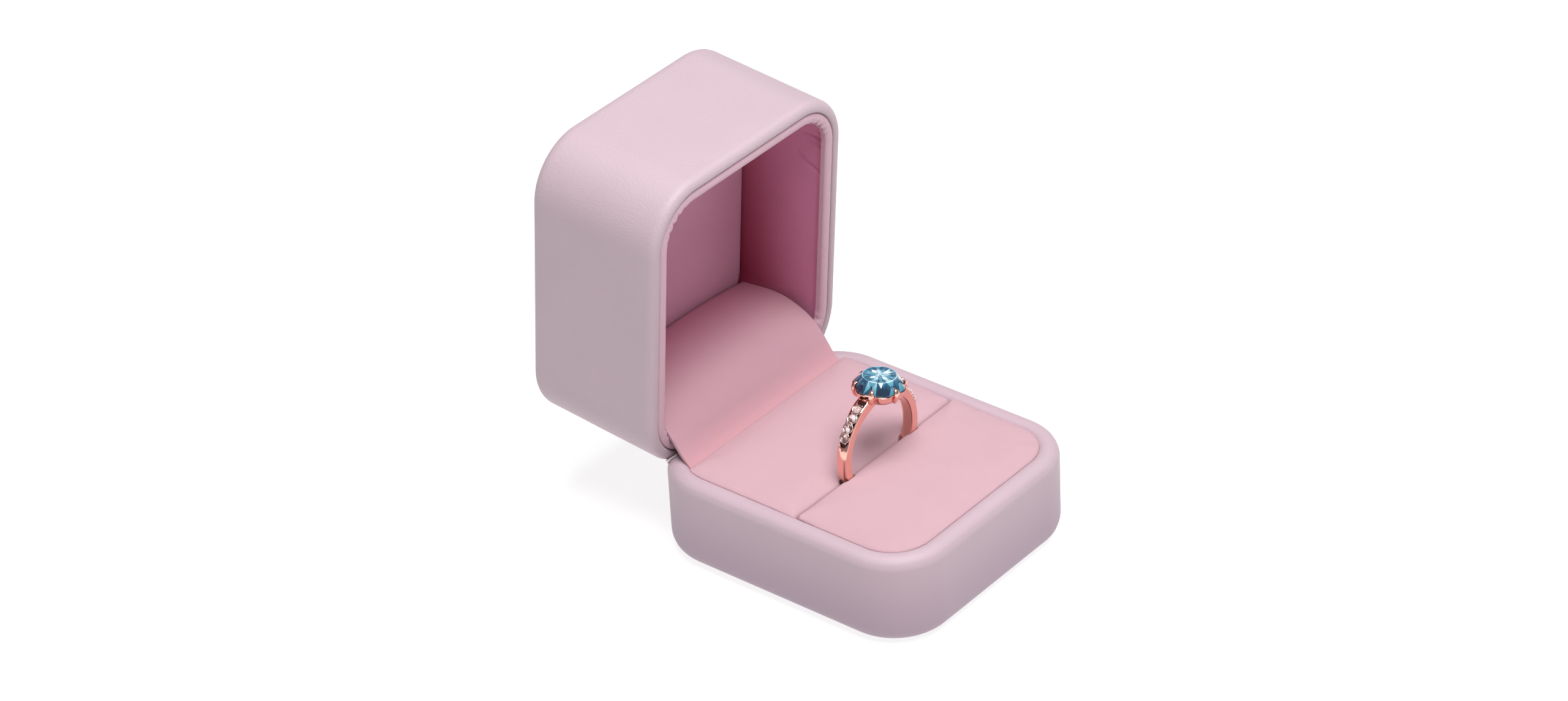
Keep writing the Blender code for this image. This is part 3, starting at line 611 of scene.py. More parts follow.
def makeLidCovering():
    s, rim, top = coveringSettings, lidLow.z, lidHigh.z
    innerCentre = (s["lidRimWidth"] - s["lidInnerRound"], rim + s["lidInnerRound"])
    inner = arcPoints(innerCentre, s["lidInnerRound"], 0, -90, 6)
    outer = arcPoints((s["lidRimRound"], rim + s["lidRimRound"]), s["lidRimRound"], 270, 180, 10)
    end = arcPoints((s["lidTopRound"], top - s["lidTopRound"]), s["lidTopRound"], 180, 90, 12)
    section = [(s["lidRimWidth"], rim + s["grooveDepth"]), *inner, *outer,
               *linePoints(outer[-1], end[0], 22), *end]
    rings = sweptRings(section, boxOutline())
    edge = rings[-1]
    middle = edge.mean(0)
    for share in np.linspace(0.08, 0.92, 12):  # the flat end, drawn in to its middle
        rings.append(middle + (edge - middle) * (1 - share))
    mesh = loft("lidCovering", rings, capLast=True)
    for vertex in mesh.vertices:
        inset, way = insetOf(vertex.co.x, vertex.co.y)
        sway = s["sway"] * (ripple(vertex.co, 80, 7.7) - 1)
        if inset < 0.2 * mm:
            vertex.co.x += way[0] * sway
            vertex.co.y += way[1] * sway
        elif vertex.co.z > top - 0.2 * mm:
            vertex.co.z += sway
    piece = makeObject("lidCovering", mesh, lidLeather)
    solid = piece.modifiers.new("thickness", "SOLIDIFY")
    solid.thickness, solid.offset = s["lidThickness"], -1
    bakeModifiers(piece)
    cutAway(piece, [reliefCutter(-1), knuckleCutter()])
    piece.data.transform(openLid)
    piece.data.shade_smooth()
    piece.data.set_sharp_from_angle(angle=math.radians(40))
    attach(piece, "lid")
    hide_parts("lid_wrap")


def makeBevelFacing(name, side, body, matrix, material):
    # leather folded over a bevelled rear rim, so that no cut edge shows
    s = coveringSettings
    slope = math.tan(-openAngle / 2)
    drop = s["reliefGap"] / math.cos(openAngle / 2)
    thick, halfX, radius = s["facingThickness"], s["facingHalf"], boxShape["cornerRadius"]
    rows = []
    for x in np.linspace(-halfX, halfX, 90):
        qx = max(abs(x) - (boxShape["halfWidth"] - radius), 0)
        outerY = boxShape["halfDepth"] - radius + math.sqrt(radius * radius - qx * qx) - thick
        innerY = hingePoint.y + (s["knuckleRoom"] if abs(x) < s["hingeHalf"] else 0.05 * mm)
        ys = np.linspace(innerY, max(outerY, innerY + 0.05 * mm), 7)
        zs = [-drop - (y - hingePoint.y) * slope for y in ys]
        upper = [(x, y, hingePoint.z + side * (z + thick)) for y, z in zip(ys, zs)]
        lower = [(x, y, hingePoint.z + side * (z - thick)) for y, z in zip(ys, zs)]
        rows.append(upper + lower[::-1])
    mesh = loft(name, rows, capFirst=True, capLast=True)
    mesh.transform(matrix)
    piece = makeObject(name, mesh, material)
    mesh.set_sharp_from_angle(angle=math.radians(40))
    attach(piece, body)


makeBaseCovering()
makeLidCovering()
makeBevelFacing("baseBevelFacing", 1, "base", Matrix.Identity(4), baseLeather)
makeBevelFacing("lidBevelFacing", -1, "lid", openLid, lidLeather)
print("coverings made")


# The lid's inside

insideSettings = {
    "collarInset": 2.36 * mm, "collarWidth": 2.1 * mm, "collarDepth": 1.5 * mm, "beadDepth": 0.65 * mm,
    "pleat": 0.30 * mm, "pleatCount": 7,
    "liningInset": 2.95 * mm, "liningThickness": 0.75 * mm, "liningEndY": 26.5 * mm, "liningDrop": 0.12 * mm,
    "rollStart": 1.0 * mm, "rollDepth": 2.2 * mm, "roll": 0.5 * mm,
    "pull": 0.48 * mm, "pullWidth": 0.34,
    "pulls": ((0.4, 0.3, 1.2, 6.5), (2.2, 1.2, 1.6, 5.0), (7.8, 3.0, 2.0, 8.2)),  # start, drop, bend, reach
    "crease": 0.32 * mm, "panelInset": 3.9 * mm, "panelCrown": 0.5 * mm, "panelEdge": 0.5 * mm,
}


def cornerShare(x, y):
    # 1 in the middle of a corner of the plan, 0 on the straight sides
    radius = boxShape["cornerRadius"]
    qx = abs(x) - (boxShape["halfWidth"] - radius)
    qy = abs(y) - (boxShape["halfDepth"] - radius)
    if qx <= 0 or qy <= 0:
        return 0.0, 0.0
    angle = math.atan2(qy, qx)
    return smoothstep(1 - abs(angle - math.pi / 4) / (math.pi / 4)), angle


def makeCollar():
    s, rim = insideSettings, lidLow.z
    radius = s["collarWidth"] / 2
    bead = [(s["collarInset"] + radius + x, rim + s["beadDepth"] * (1 + z / radius))
            for x, z in arcPoints((0, 0), radius, 180, 360, 18)]
    inside = (s["collarInset"] + s["collarWidth"], rim + s["collarDepth"])
    outside = (s["collarInset"], rim + s["collarDepth"])
    section = [*bead, *linePoints(bead[-1], inside, 5), inside, *linePoints(inside, outside, 3), outside,
               *linePoints(outside, bead[0], 4)]
    mesh = loft("lidBead", sweptRings(section, boxOutline(0.3 * mm)), closeAlong=True)
    for vertex in mesh.vertices:
        inset, way = insetOf(vertex.co.x, vertex.co.y)
        share, angle = cornerShare(vertex.co.x, vertex.co.y)
        pleat = s["pleat"] * share * math.sin(angle * 4 * s["pleatCount"])
        pull = 0.05 * mm * ripple(vertex.co, 500, 1.7) - 0.5 * abs(pleat)
        inner = smoothstep((inset - s["collarInset"]) / s["collarWidth"])
        vertex.co.x += way[0] * (pleat + 0.05 * mm) * inner
        vertex.co.y += way[1] * (pleat + 0.05 * mm) * inner
        vertex.co.z += max(0.0, -pull) * 0.6
    piece = makeObject("lidBead", mesh, collarLeather)
    notch = blockMesh((-coveringSettings["hingeHalf"], hingePoint.y - 6 * mm, rim - 5 * mm),
                      (coveringSettings["hingeHalf"], hingePoint.y + 3 * mm, rim + 10 * mm))
    cutAway(piece, [reliefCutter(-1), notch])
    piece.data.transform(openLid)
    piece.data.shade_smooth()
    piece.data.set_sharp_from_angle(angle=math.radians(50))
    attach(piece, "lid")
    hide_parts("lid_collar")


def makeWallLining():
    # one strip round the left, front and right walls: it rolls up behind the bead and creases at the corners
    s = insideSettings
    panelFace = shutBox("lid_top_panel")[0].z
    low, high = lidLow.z + s["rollStart"], panelFace + 2.5 * mm
    points, normals = boxOutline(0.32 * mm)
    turn = next(k for k in range(len(points)) if points[k][0] < 0)  # starts at the middle of the rear
    points, normals = np.roll(points, -turn, axis=0), np.roll(normals, -turn, axis=0)
    kept = [k for k in range(len(points)) if points[k][1] < s["liningEndY"]]
    points, normals = points[kept], normals[kept]
    inner, outer = s["liningInset"] + s["liningThickness"], s["liningInset"]
    section = [(inner + s["roll"] * (1 - smoothstep((height - low) / s["rollDepth"])), height)
               for height in np.concatenate([np.arange(low, low + s["rollDepth"], 0.2 * mm),
                                             np.linspace(low + s["rollDepth"], high, 52)])]
    faceRows = len(section)
    section += [(outer, high), (outer, low)]
    rings = np.array(sweptRings(section, (points, normals)))
    cornerY = -(boxShape["halfDepth"] - boxShape["cornerRadius"])
    for row in range(faceRows):
        depth = section[row][1] - lidLow.z
        height = (section[row][1] - low) / (high - low)
        for column in range(len(points)):
            x, y = points[column]
            share, angle = cornerShare(x, y)
            fold = math.sin(angle * 9 + 7 * height) + 0.6 * math.sin(angle * 17 - 5 * height + 1)
            amount = s["crease"] * share * smoothstep(1 - height * 1.7) * (fold * 0.5 + 0.25)
            amount += 0.06 * mm * ripple(rings[row][column], 120, 4.4)
            if x > 0:  # pulled creases that fan out over the right wall
                down = (y - cornerY) / mm
                for start, drop, bend, reach in s["pulls"]:
                    line = start - drop * (depth / mm / reach) ** bend
                    strength = smoothstep((reach + 1.5 - depth / mm) / 3)
                    amount -= s["pull"] * strength * math.exp(-((down - line) / s["pullWidth"]) ** 2)
            rings[row][column][:2] -= normals[column] * (amount - s["liningDrop"])
    mesh = loft("wallLining", rings.transpose(1, 0, 2), capFirst=True, capLast=True)
    mesh.transform(openLid)
    piece = makeObject("wallLining", mesh, shadedWallSuede)
    mesh.set_sharp_from_angle(angle=math.radians(60))
    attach(piece, "lid")
    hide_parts("lid_wall_lining")


def makePanel():
    # the padded end panel: tight edges and a low crown
    s = insideSettings
    low, high = shutBox("lid_top_panel")
    half, radius = boxShape["halfDepth"] - s["panelInset"], boxShape["cornerRadius"] - s["panelInset"]
    outline = planOutline(boxShape["halfWidth"] - s["panelInset"], -half, half, radius, radius, 0.6 * mm)
    edge = s["panelEdge"]
    section = [(0, high.z), *linePoints((0, high.z), (0, low.z + edge), 4)]
    section += arcPoints((edge, low.z + edge), edge, 180, 270, 5)
    rings = sweptRings(section, outline)
    rim, middle = rings[-1], rings[-1].mean(0)
    for share in np.linspace(0.03, 0.95, 24):
        ring = middle + (rim - middle) * (1 - share)
        ring[:, 2] -= s["panelCrown"] * smoothstep(share * 1.6)
        rings.append(ring)
    mesh = loft("topPanel", rings, capFirst=True, capLast=True)
    mesh.transform(openLid)
    piece = makeObject("topPanel", mesh, liningSuede)
    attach(piece, "lid")
    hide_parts("lid_top_panel")


makeCollar()
makeWallLining()
makePanel()
print("inside of the lid made")


# Hinge cover and flap, one padded piece that bends across the hinge

coverSettings = {
    "thickness": 1.0 * mm, "crown": 1.5 * mm, "edgeRound": 0.35 * mm,
    "junctionY": 22.7 * mm, "junctionZ": 17.7 * mm,
    "route": ((0, 0), (1.5, 1.5), (3.0, 3.5), (4.5, 5.5), (6.6, 7.6), (9.6, 9.2), (13.4, 9.8),
              (18.9, 9.6), (24.6, 9.0)),
    "lidHalfWidth": 23.35 * mm, "rimHalfWidth": 22.3 * mm, "baseHalfWidth": 22.2 * mm,
    "bendAlong": 6.2 * mm, "bendUp": 7.6 * mm,
}


def smoothCurve(points, count):
    # a Catmull-Rom curve through points, evenly spaced in parameter
    points = [np.array(point, float) for point in points]
    points = [2 * points[0] - points[1], *points, 2 * points[-1] - points[-2]]
    made = []
    for k in range(1, len(points) - 2):
        a, b, c, d = points[k - 1:k + 3]
        for t in np.linspace(0, 1, count, endpoint=False):
            made.append(0.5 * (2 * b + (c - a) * t + (2 * a - 5 * b + 4 * c - d) * t ** 2
                               + (3 * b - a - 3 * c + d) * t ** 3))
    made.append(points[-2])
    return np.array(made)


def makeHingeCover():
    s = coverSettings
    y0, z0 = s["junctionY"], s["junctionZ"]
    route = [(y0 + along * mm, z0 + up * mm) for along, up in s["route"]]
    curve = smoothCurve(route, 8)
    lengths = np.concatenate([[0], np.cumsum(np.linalg.norm(np.diff(curve, axis=0), axis=1))])
    rows = []
    for k, (y, z) in enumerate(curve):
        along = curve[min(k + 1, len(curve) - 1)] - curve[max(k - 1, 0)]
        along /= np.linalg.norm(along)
        across = np.array((-along[1], along[0]))
        share = lengths[k] / lengths[-1]
        half = s["baseHalfWidth"] + (s["rimHalfWidth"] - s["baseHalfWidth"]) * smoothstep(share * 3)
        half += (s["lidHalfWidth"] - s["rimHalfWidth"]) * smoothstep(share * 3 - 1.3)
        crown = s["crown"] * smoothstep((share - 0.05) * 1.1)
        ends = smoothstep(min(k, len(curve) - 1 - k) / 2 + 0.35)
        xs = np.sin(np.linspace(-math.pi / 2, math.pi / 2, 61)) * half
        upper, lower = [], []
        for x in xs:
            bulge = crown * (1 - abs(x / half) ** 2.4)
            edge = min(1.0, (half - abs(x)) / s["edgeRound"])
            rounded = 0.25 + 0.75 * math.sqrt(max(0.0, 1 - (1 - edge) ** 2))
            thick = s["thickness"] * rounded * (0.4 + 0.6 * ends)
            wave = 0.05 * mm * ripple((x, y, z), 110, 2.2)
            top = np.array((y, z)) + across * (bulge + wave)
            under = np.array((y, z)) + across * (min(bulge, 0.8 * mm) - thick)
            upper.append((x, top[0], top[1]))
            lower.append((x, under[0], under[1]))
        rows.append(upper + lower[::-1])
    mesh = loft("hingeCover", rows, capFirst=True, capLast=True)
    piece = makeObject("hingeCover", mesh, coverLitShadedSuede)
    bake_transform(piece)
    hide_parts("hinge_cover", "hinge_flap")


makeHingeCover()
print("hinge cover made")


# Pads

padSettings = {
    "slotY": -2.8 * mm, "slotHalf": 0.1 * mm, "slotCorner": 0.7 * mm,
    "rearY": 23.6 * mm, "rearCorner": 1.5 * mm, "inset": 3.35 * mm, "lowZ": 4.8 * mm,
    "sideTop": 17.9 * mm, "crest": 19.35 * mm, "edge": 0.8 * mm,
    "contactInset": 3.35 * mm, "contactZ": 18.46 * mm, "shoulder": 2.8 * mm,
    "simScale": 10.0, "voxel": 5 * mm, "pressure": 4.0, "frames": 20, "mostMove": 0.25 * mm,
    "pinned": 6 * mm,  # height over the bottom that stays put
    "rearDip": 0.9 * mm, "frontRise": 0.45 * mm, "dipAlong": 3.2 * mm, "dipAcross": 13 * mm,
    "rimClear": 0.01 * mm, "bandClear": 0.12 * mm, "padClear": 0.02 * mm,
    "bandDepth": 1.9 * mm, "bandFade": 1.6 * mm,
}
bandLow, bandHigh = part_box("ring_band")
ringRadius = (bandHigh.x - bandLow.x) / 2
ringCentre = Vector(((bandLow.x + bandHigh.x) / 2, (bandLow.y + bandHigh.y) / 2, bandLow.z + ringRadius))


def padMesh(name, frontY, rearY, frontCorner, rearCorner):
    s = padSettings
    outline = planOutline(boxShape["halfWidth"] - s["inset"], frontY, rearY, frontCorner, rearCorner, 0.9 * mm)
    section = [(0, s["lowZ"]), *linePoints((0, s["lowZ"]), (0, s["sideTop"]), 10)]
    section += arcPoints((s["edge"], s["sideTop"]), s["edge"], 180, 90, 6)
    rings = sweptRings(section, outline)
    rim, middle = rings[-1], rings[-1].mean(0)
    rise = s["crest"] - s["sideTop"] - s["edge"]
    for share in np.linspace(0.08, 0.95, 14):
        ring = middle + (rim - middle) * (1 - share)
        ring[:, 2] += rise * math.sin(share * math.pi / 2) ** 0.8
        rings.append(ring)
    return loft(name, rings, capFirst=True, capLast=True)


def inflate(mesh):
    # cloth under pressure, at ten times the size, with the bottom pinned and the movement capped
    s = padSettings
    mesh.transform(Matrix.Scale(s["simScale"], 4))
    pad = bpy.data.objects.new("padSim", mesh)
    scene.collection.objects.link(pad)
    remesh = pad.modifiers.new("remesh", "REMESH")
    remesh.mode, remesh.voxel_size = "VOXEL", s["voxel"]
    bakeModifiers(pad)
    start = np.array([vertex.co for vertex in pad.data.vertices])
    held = pad.vertex_groups.new(name="held")
    pinTop = s["simScale"] * (s["lowZ"] + s["pinned"])
    held.add([k for k, point in enumerate(start) if point[2] < pinTop], 1.0, "REPLACE")
    cloth = pad.modifiers.new("cloth", "CLOTH")
    cloth.settings.use_pressure = True
    cloth.settings.uniform_pressure_force = s["pressure"]
    cloth.settings.vertex_group_mass = "held"
    cloth.settings.effector_weights.gravity = 0
    cloth.point_cache.frame_end = s["frames"]
    for number in range(1, s["frames"] + 1):
        scene.frame_set(number)
    graph = bpy.context.evaluated_depsgraph_get()
    swollen = bpy.data.meshes.new_from_object(pad.evaluated_get(graph))
    scene.frame_set(1)
    moved = np.array([vertex.co for vertex in swollen.vertices]) - start
    reach = np.linalg.norm(moved, axis=1, keepdims=True)
    limit = s["mostMove"] * s["simScale"]
    moved *= np.minimum(1.0, limit / np.maximum(reach, 1e-9))
    swollen.vertices.foreach_set("co", (start + moved).astype(np.float32).ravel())
    bpy.data.objects.remove(pad, do_unlink=True)
    swollen.transform(Matrix.Scale(1 / s["simScale"], 4))
    return swollen


def rimInset(z):
    # how far in the base's rim reaches at a height
    s = coveringSettings
    up = z - (baseHigh.z - s["innerRound"])
    if up <= 0:
        return s["rimWidth"]
    return s["rimWidth"] - s["innerRound"] + math.sqrt(max(0.0, s["innerRound"] ** 2 - up * up))


def fitPad(mesh, side):
    # settles a pad against the rim, the other pad and the ring; side is -1 in front of the slot and 1 behind
    s = padSettings
    room = (bandHigh.y - bandLow.y) / 2 + s["bandClear"]
    for vertex in mesh.vertices:
        x, y, z = vertex.co
        near = math.exp(-((y - s["slotY"]) / s["dipAlong"]) ** 2)
        beside = math.exp(-((x - ringCentre.x) / s["dipAcross"]) ** 2)
        if z > s["sideTop"] - 2 * mm:
            if side > 0:
                z -= s["rearDip"] * near * (0.45 + 0.55 * beside)
            else:
                z += s["frontRise"] * near
        inset, way = insetOf(x, y)
        over = max(0.0, inset - s["contactInset"])
        top = s["contactZ"] + (s["crest"] + 0.35 * mm - s["contactZ"]) * (1 - math.exp(-over / s["shoulder"]))
        z = min(z, top)
        need = rimInset(z) + s["rimClear"]
        inset, way = insetOf(x, y)
        if inset < need:
            x -= way[0] * (need - inset)
            y -= way[1] * (need - inset)
        away = math.hypot(x - ringCentre.x, z - ringCentre.z)
        beyond = max(0.0, away - ringRadius, ringRadius - s["bandDepth"] - away)
        gap = s["padClear"] + (room - s["padClear"]) * smoothstep(1 - beyond / s["bandFade"])
        if side > 0:
            y = max(y, s["slotY"] + gap)
        else:
            y = min(y, s["slotY"] - gap)
        vertex.co = (x, y, z)


def makePad(name, node, side):
    s = padSettings
    frontY, wide = -(boxShape["halfDepth"] - s["inset"]), boxShape["cornerRadius"] - s["inset"]
    if side < 0:
        mesh = padMesh(name, frontY, s["slotY"] - s["slotHalf"], wide, s["slotCorner"])
    else:
        mesh = padMesh(name, s["slotY"] + s["slotHalf"], s["rearY"], s["slotCorner"], s["rearCorner"])
    mesh = inflate(mesh)
    piece = makeObject(name, mesh, padSuede)
    soften = piece.modifiers.new("soften", "SMOOTH")
    soften.iterations, soften.factor = 6, 0.5
    finer = piece.modifiers.new("finer", "SUBSURF")
    finer.levels = finer.render_levels = 1
    bakeModifiers(piece)
    fitPad(piece.data, side)
    piece.data.shade_smooth()
    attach(piece, "base")
    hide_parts(node)


makePad("frontPad", "front_pad", -1)
makePad("rearPad", "rear_pad", 1)
print("pads made")


# Geometry Nodes: copies of one small shape, turned by equal steps about an axis


def makeTurnTree(axis):
    tree = bpy.data.node_groups.new("turnedCopies" + axis, "GeometryNodeTree")
    tree.interface.new_socket("Geometry", in_out="OUTPUT", socket_type="NodeSocketGeometry")
    for name, kind in (("Shape", "NodeSocketObject"), ("Count", "NodeSocketInt"),
                       ("First angle", "NodeSocketFloat"), ("Step angle", "NodeSocketFloat"),
                       ("Finish", "NodeSocketMaterial")):
        tree.interface.new_socket(name, in_out="INPUT", socket_type=kind)
    nodes, links = tree.nodes, tree.links
    given, made = nodes.new("NodeGroupInput"), nodes.new("NodeGroupOutput")
    points, index = nodes.new("GeometryNodePoints"), nodes.new("GeometryNodeInputIndex")
    angle = addNode(nodes, "ShaderNodeMath", operation="MULTIPLY_ADD")
    turn, shape = nodes.new("ShaderNodeCombineXYZ"), nodes.new("GeometryNodeObjectInfo")
    copies, solid = nodes.new("GeometryNodeInstanceOnPoints"), nodes.new("GeometryNodeRealizeInstances")
    finish = nodes.new("GeometryNodeSetMaterial")
    links.new(given.outputs["Count"], points.inputs["Count"])
    links.new(index.outputs[0], angle.inputs[0])
    links.new(given.outputs["Step angle"], angle.inputs[1])
    links.new(given.outputs["First angle"], angle.inputs[2])
    links.new(angle.outputs[0], turn.inputs[axis])
    links.new(given.outputs["Shape"], shape.inputs["Object"])
    links.new(points.outputs[0], copies.inputs["Points"])
    links.new(shape.outputs["Geometry"], copies.inputs["Instance"])
    links.new(turn.outputs[0], copies.inputs["Rotation"])
    links.new(copies.outputs[0], solid.inputs[0])
    links.new(solid.outputs[0], finish.inputs["Geometry"])
    links.new(given.outputs["Finish"], finish.inputs["Material"])
    links.new(finish.outputs[0], made.inputs[0])
    return tree


turnTrees = {axis: makeTurnTree(axis) for axis in ("Y", "Z")}


def turnedCopies(name, shapeMesh, axis, count, first, step, material):
    shape = bpy.data.objects.new(name + "Shape", shapeMesh)
    scene.collection.objects.link(shape)
    host = bpy.data.objects.new(name, bpy.data.meshes.new(name))
    scene.collection.objects.link(host)
    modifier = host.modifiers.new("copies", "NODES")
    tree = turnTrees[axis]
    modifier.node_group = tree
    values = {"Shape": shape, "Count": count, "First angle": first, "Step angle": step, "Finish": material}
    for item in tree.interface.items_tree:
        if item.in_out == "INPUT":
            modifier[item.identifier] = values[item.name]
    bakeModifiers(host)
    bpy.data.objects.remove(shape, do_unlink=True)
    return host


# Ring, drawn about its own centre and then set into the slot

ringSettings = {
    "tilt": math.radians(6), "innerRadius": 9.15 * mm, "outerRadius": ringRadius, "width": 2.35 * mm,
    "shoulderRise": 0.5 * mm, "corner": 0.22 * mm, "bridgeRadius": 10.0 * mm,
    "channelHalf": 1.02 * mm, "channelDepth": 0.42 * mm, "channelFrom": 24, "channelTo": 77,
    "girdle": 11.5 * mm, "stoneRadius": 4.95 * mm, "crown": 2.1 * mm, "pavilion": 1.9 * mm,
    "cupRadius": 5.15 * mm, "cupLow": 9.3 * mm, "lobes": 6, "lobeDepth": 0.10, "clawPhase": 20,
    "accentCount": 4, "accentRadius": 1.02 * mm, "accentFirst": 35.5, "accentStep": 9.9,
}
ringPlace = Matrix.Translation(ringCentre) @ Matrix.Rotation(ringSettings["tilt"], 4, "Y")


def settleRingPiece(piece, slot, *nodes):
    piece.data.transform(ringPlace)
    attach(piece, "ring")
    if nodes:
        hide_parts(*nodes)


def makeBand():
    s = ringSettings
    half, corner = s["width"] / 2, s["corner"]
    columns = []
    for angle in np.radians(np.arange(0, 360, 1.5)):
        fromTop = abs(math.degrees((angle + math.pi) % (2 * math.pi) - math.pi))
        outer = s["outerRadius"] + s["shoulderRise"] * smoothstep((58 - fromTop) / 30)
        outer += (s["bridgeRadius"] - outer) * smoothstep((23 - fromTop) / 5)
        wide = half * (1 + 0.10 * smoothstep((70 - fromTop) / 40))
        section = [(s["innerRadius"] + corner * 0.5, -wide), (s["innerRadius"], -wide + corner)]
        section += [(s["innerRadius"], y) for y in np.linspace(-0.5, 0.5, 5) * wide]
        section += [(s["innerRadius"], wide - corner), (s["innerRadius"] + corner * 0.5, wide)]
        section += [(outer - corner * 1.2, wide)]
        section += [(outer - corner + corner * math.sin(a), wide - corner + corner * math.cos(a))
                    for a in np.radians((15, 45, 75))]
        inChannel = smoothstep((fromTop - s["channelFrom"]) / 1.5)
        inChannel *= smoothstep((s["channelTo"] - fromTop) / 1.5)
        tip = min(1.0, max(0.0, (s["channelTo"] - fromTop) / 7))
        edge = min(s["channelHalf"] * (0.2 + 0.8 * tip), wide - corner - 0.02 * mm)
        crown = 0.18 * mm
        for y in (1.0, 0.96, 0.4, 0, -0.4, -0.96, -1.0):
            sunk = s["channelDepth"] * inChannel if abs(y) < 0.98 else 0
            place = y * edge
            rise = crown * (1 - (place / wide) ** 2) * (1 - inChannel)
            section.append((outer + rise - sunk, place))
        section += [(outer - corner + corner * math.sin(a), -wide + corner - corner * math.cos(a))
                    for a in np.radians((75, 45, 15))]
        section += [(outer - corner * 1.2, -wide)]
        columns.append([(r * math.sin(angle), y, r * math.cos(angle)) for r, y in section])
    mesh = loft("band", columns, closeAlong=True)
    piece = makeObject("band", mesh, roseGold)
    mesh.set_sharp_from_angle(angle=math.radians(38))
    settleRingPiece(piece, "rose_gold", "ring_band")


def makeChannelFloor(side, label):
    # dark strip, painted shade in the channel under a row of accent stones, pointed at its lower end
    s = ringSettings
    rows = []
    for angle in np.radians(np.arange(s["channelFrom"] - 1, s["channelTo"] + 0.1, 1.5)):
        fromTop = math.degrees(angle)
        outer = s["outerRadius"] + s["shoulderRise"] * smoothstep((58 - fromTop) / 30)
        edge = s["channelHalf"] * (0.05 + 0.93 * min(1.0, (s["channelTo"] - fromTop) / 7))
        high, low = outer - s["channelDepth"] * 0.55, outer - s["channelDepth"] - 0.12 * mm
        rows.append([(side * r * math.sin(angle), y, r * math.cos(angle))
                     for r, y in ((low, -edge), (high, -edge), (high, edge), (low, edge))])
    mesh = loft("channelFloor", rows, capFirst=True, capLast=True)
    piece = makeObject(label + "ChannelFloor", mesh, channelShadeMetal)
    mesh.set_sharp_from_angle(angle=math.radians(40))
    settleRingPiece(piece, "rose_gold")


def lobeRadius(radius, angle, depth):
    # the outline dips at each claw
    s = ringSettings
    return radius * (1 - depth * (0.5 + 0.5 * math.cos(s["lobes"] * (angle - math.radians(s["clawPhase"])))))


def makeCup():
    # the scalloped cup under the stone: a plain wall, a bright rolled edge and a dark inside
    s = ringSettings
    top, low, wide = s["girdle"] - 0.05 * mm, s["cupLow"], s["cupRadius"]
    section = [(0.30, low + 0.25 * mm), (0.55, low + 0.05 * mm), (0.70, low + 0.10 * mm),
               (0.82, low + 0.35 * mm), (0.90, low + 0.80 * mm), (0.945, low + 1.3 * mm),
               (0.985, top - 0.30 * mm), (1.0, top - 0.10 * mm), (0.998, top), (0.975, top + 0.04 * mm),
               (0.945, top - 0.06 * mm), (0.935, top - 0.35 * mm), (0.86, top - 1.0 * mm),
               (0.5, low + 0.6 * mm)]
    rings = []
    for share, height in section:
        ring = []
        for angle in np.linspace(0, 2 * math.pi, 180, endpoint=False):
            radius = lobeRadius(wide * share, angle, s["lobeDepth"] * smoothstep(share * 2.2 - 1.1))
            ring.append((radius * math.cos(angle), radius * math.sin(angle), height))
        rings.append(ring)
    mesh = loft("stoneCup", rings, closeAlong=True)
    piece = makeObject("stoneCup", mesh, roseGold)
    settleRingPiece(piece, "rose_gold", "ring_basket")


clawSettings = {
    "route": ((0.72, -2.15), (0.84, -1.75), (0.92, -1.1), (0.95, -0.4), (0.95, 0.35), (0.90, 0.85),
              (0.80, 1.15)),
    "halfWidths": (0.06, 0.20, 0.38, 0.54, 0.58, 0.46, 0.16),
    "halfDepths": (0.08, 0.20, 0.30, 0.34, 0.32, 0.24, 0.08),
}


def clawShape():
    # one claw: a pointed foot, a V that widens up the cup's wall, and a tip folded over the stone
    s, c = ringSettings, clawSettings
    curve = smoothCurve([(s["cupRadius"] * out, s["girdle"] + up * mm) for out, up in c["route"]], 5)
    steps = np.linspace(0, len(c["route"]) - 1, len(curve))
    widths = np.interp(steps, range(len(c["route"])), c["halfWidths"]) * mm
    depths = np.interp(steps, range(len(c["route"])), c["halfDepths"]) * mm
    rings = []
    for k, (x, z) in enumerate(curve):
        along = curve[min(k + 1, len(curve) - 1)] - curve[max(k - 1, 0)]
        along /= np.linalg.norm(along)
        ring = []
        for angle in np.linspace(0, 2 * math.pi, 16, endpoint=False):
            side, out = widths[k] * math.cos(angle), depths[k] * math.sin(angle)
            ring.append((x + along[1] * out, side, z - along[0] * out))
        rings.append(ring)
    return loft("claw", rings, capFirst=True, capLast=True)


def makeClaws():
    s = ringSettings
    piece = turnedCopies("claws", clawShape(), "Z", s["lobes"], math.radians(s["clawPhase"]),
                         2 * math.pi / s["lobes"], roseGold)
    piece.data.shade_smooth()
    settleRingPiece(piece, "rose_gold")


def brilliantMesh(name, radius, crown, pavilion, sides):
    # a round brilliant: table, star and kite facets, girdle and pavilion, as one hull
    work = bmesh.new()
    half = math.pi / sides

    def addRing(share, height, count, offset):
        for k in range(count):
            angle = 2 * math.pi * k / count + offset
            work.verts.new((radius * share * math.cos(angle), radius * share * math.sin(angle), height))

    addRing(0.56, crown, sides, 0)
    addRing(0.80, crown * 0.60, sides, half)
    addRing(1.0, crown * 0.06, sides * 2, half / 2)
    addRing(1.0, -crown * 0.06, sides * 2, half / 2)
    addRing(0.62, -pavilion * 0.45, sides, half)
    work.verts.new((0, 0, -pavilion))
    bmesh.ops.convex_hull(work, input=work.verts)
    bmesh.ops.dissolve_limit(work, angle_limit=math.radians(1), verts=work.verts, edges=work.edges)
    bmesh.ops.recalc_face_normals(work, faces=work.faces)
    mesh = bpy.data.meshes.new(name)
    work.to_mesh(mesh)
    work.free()
    return mesh
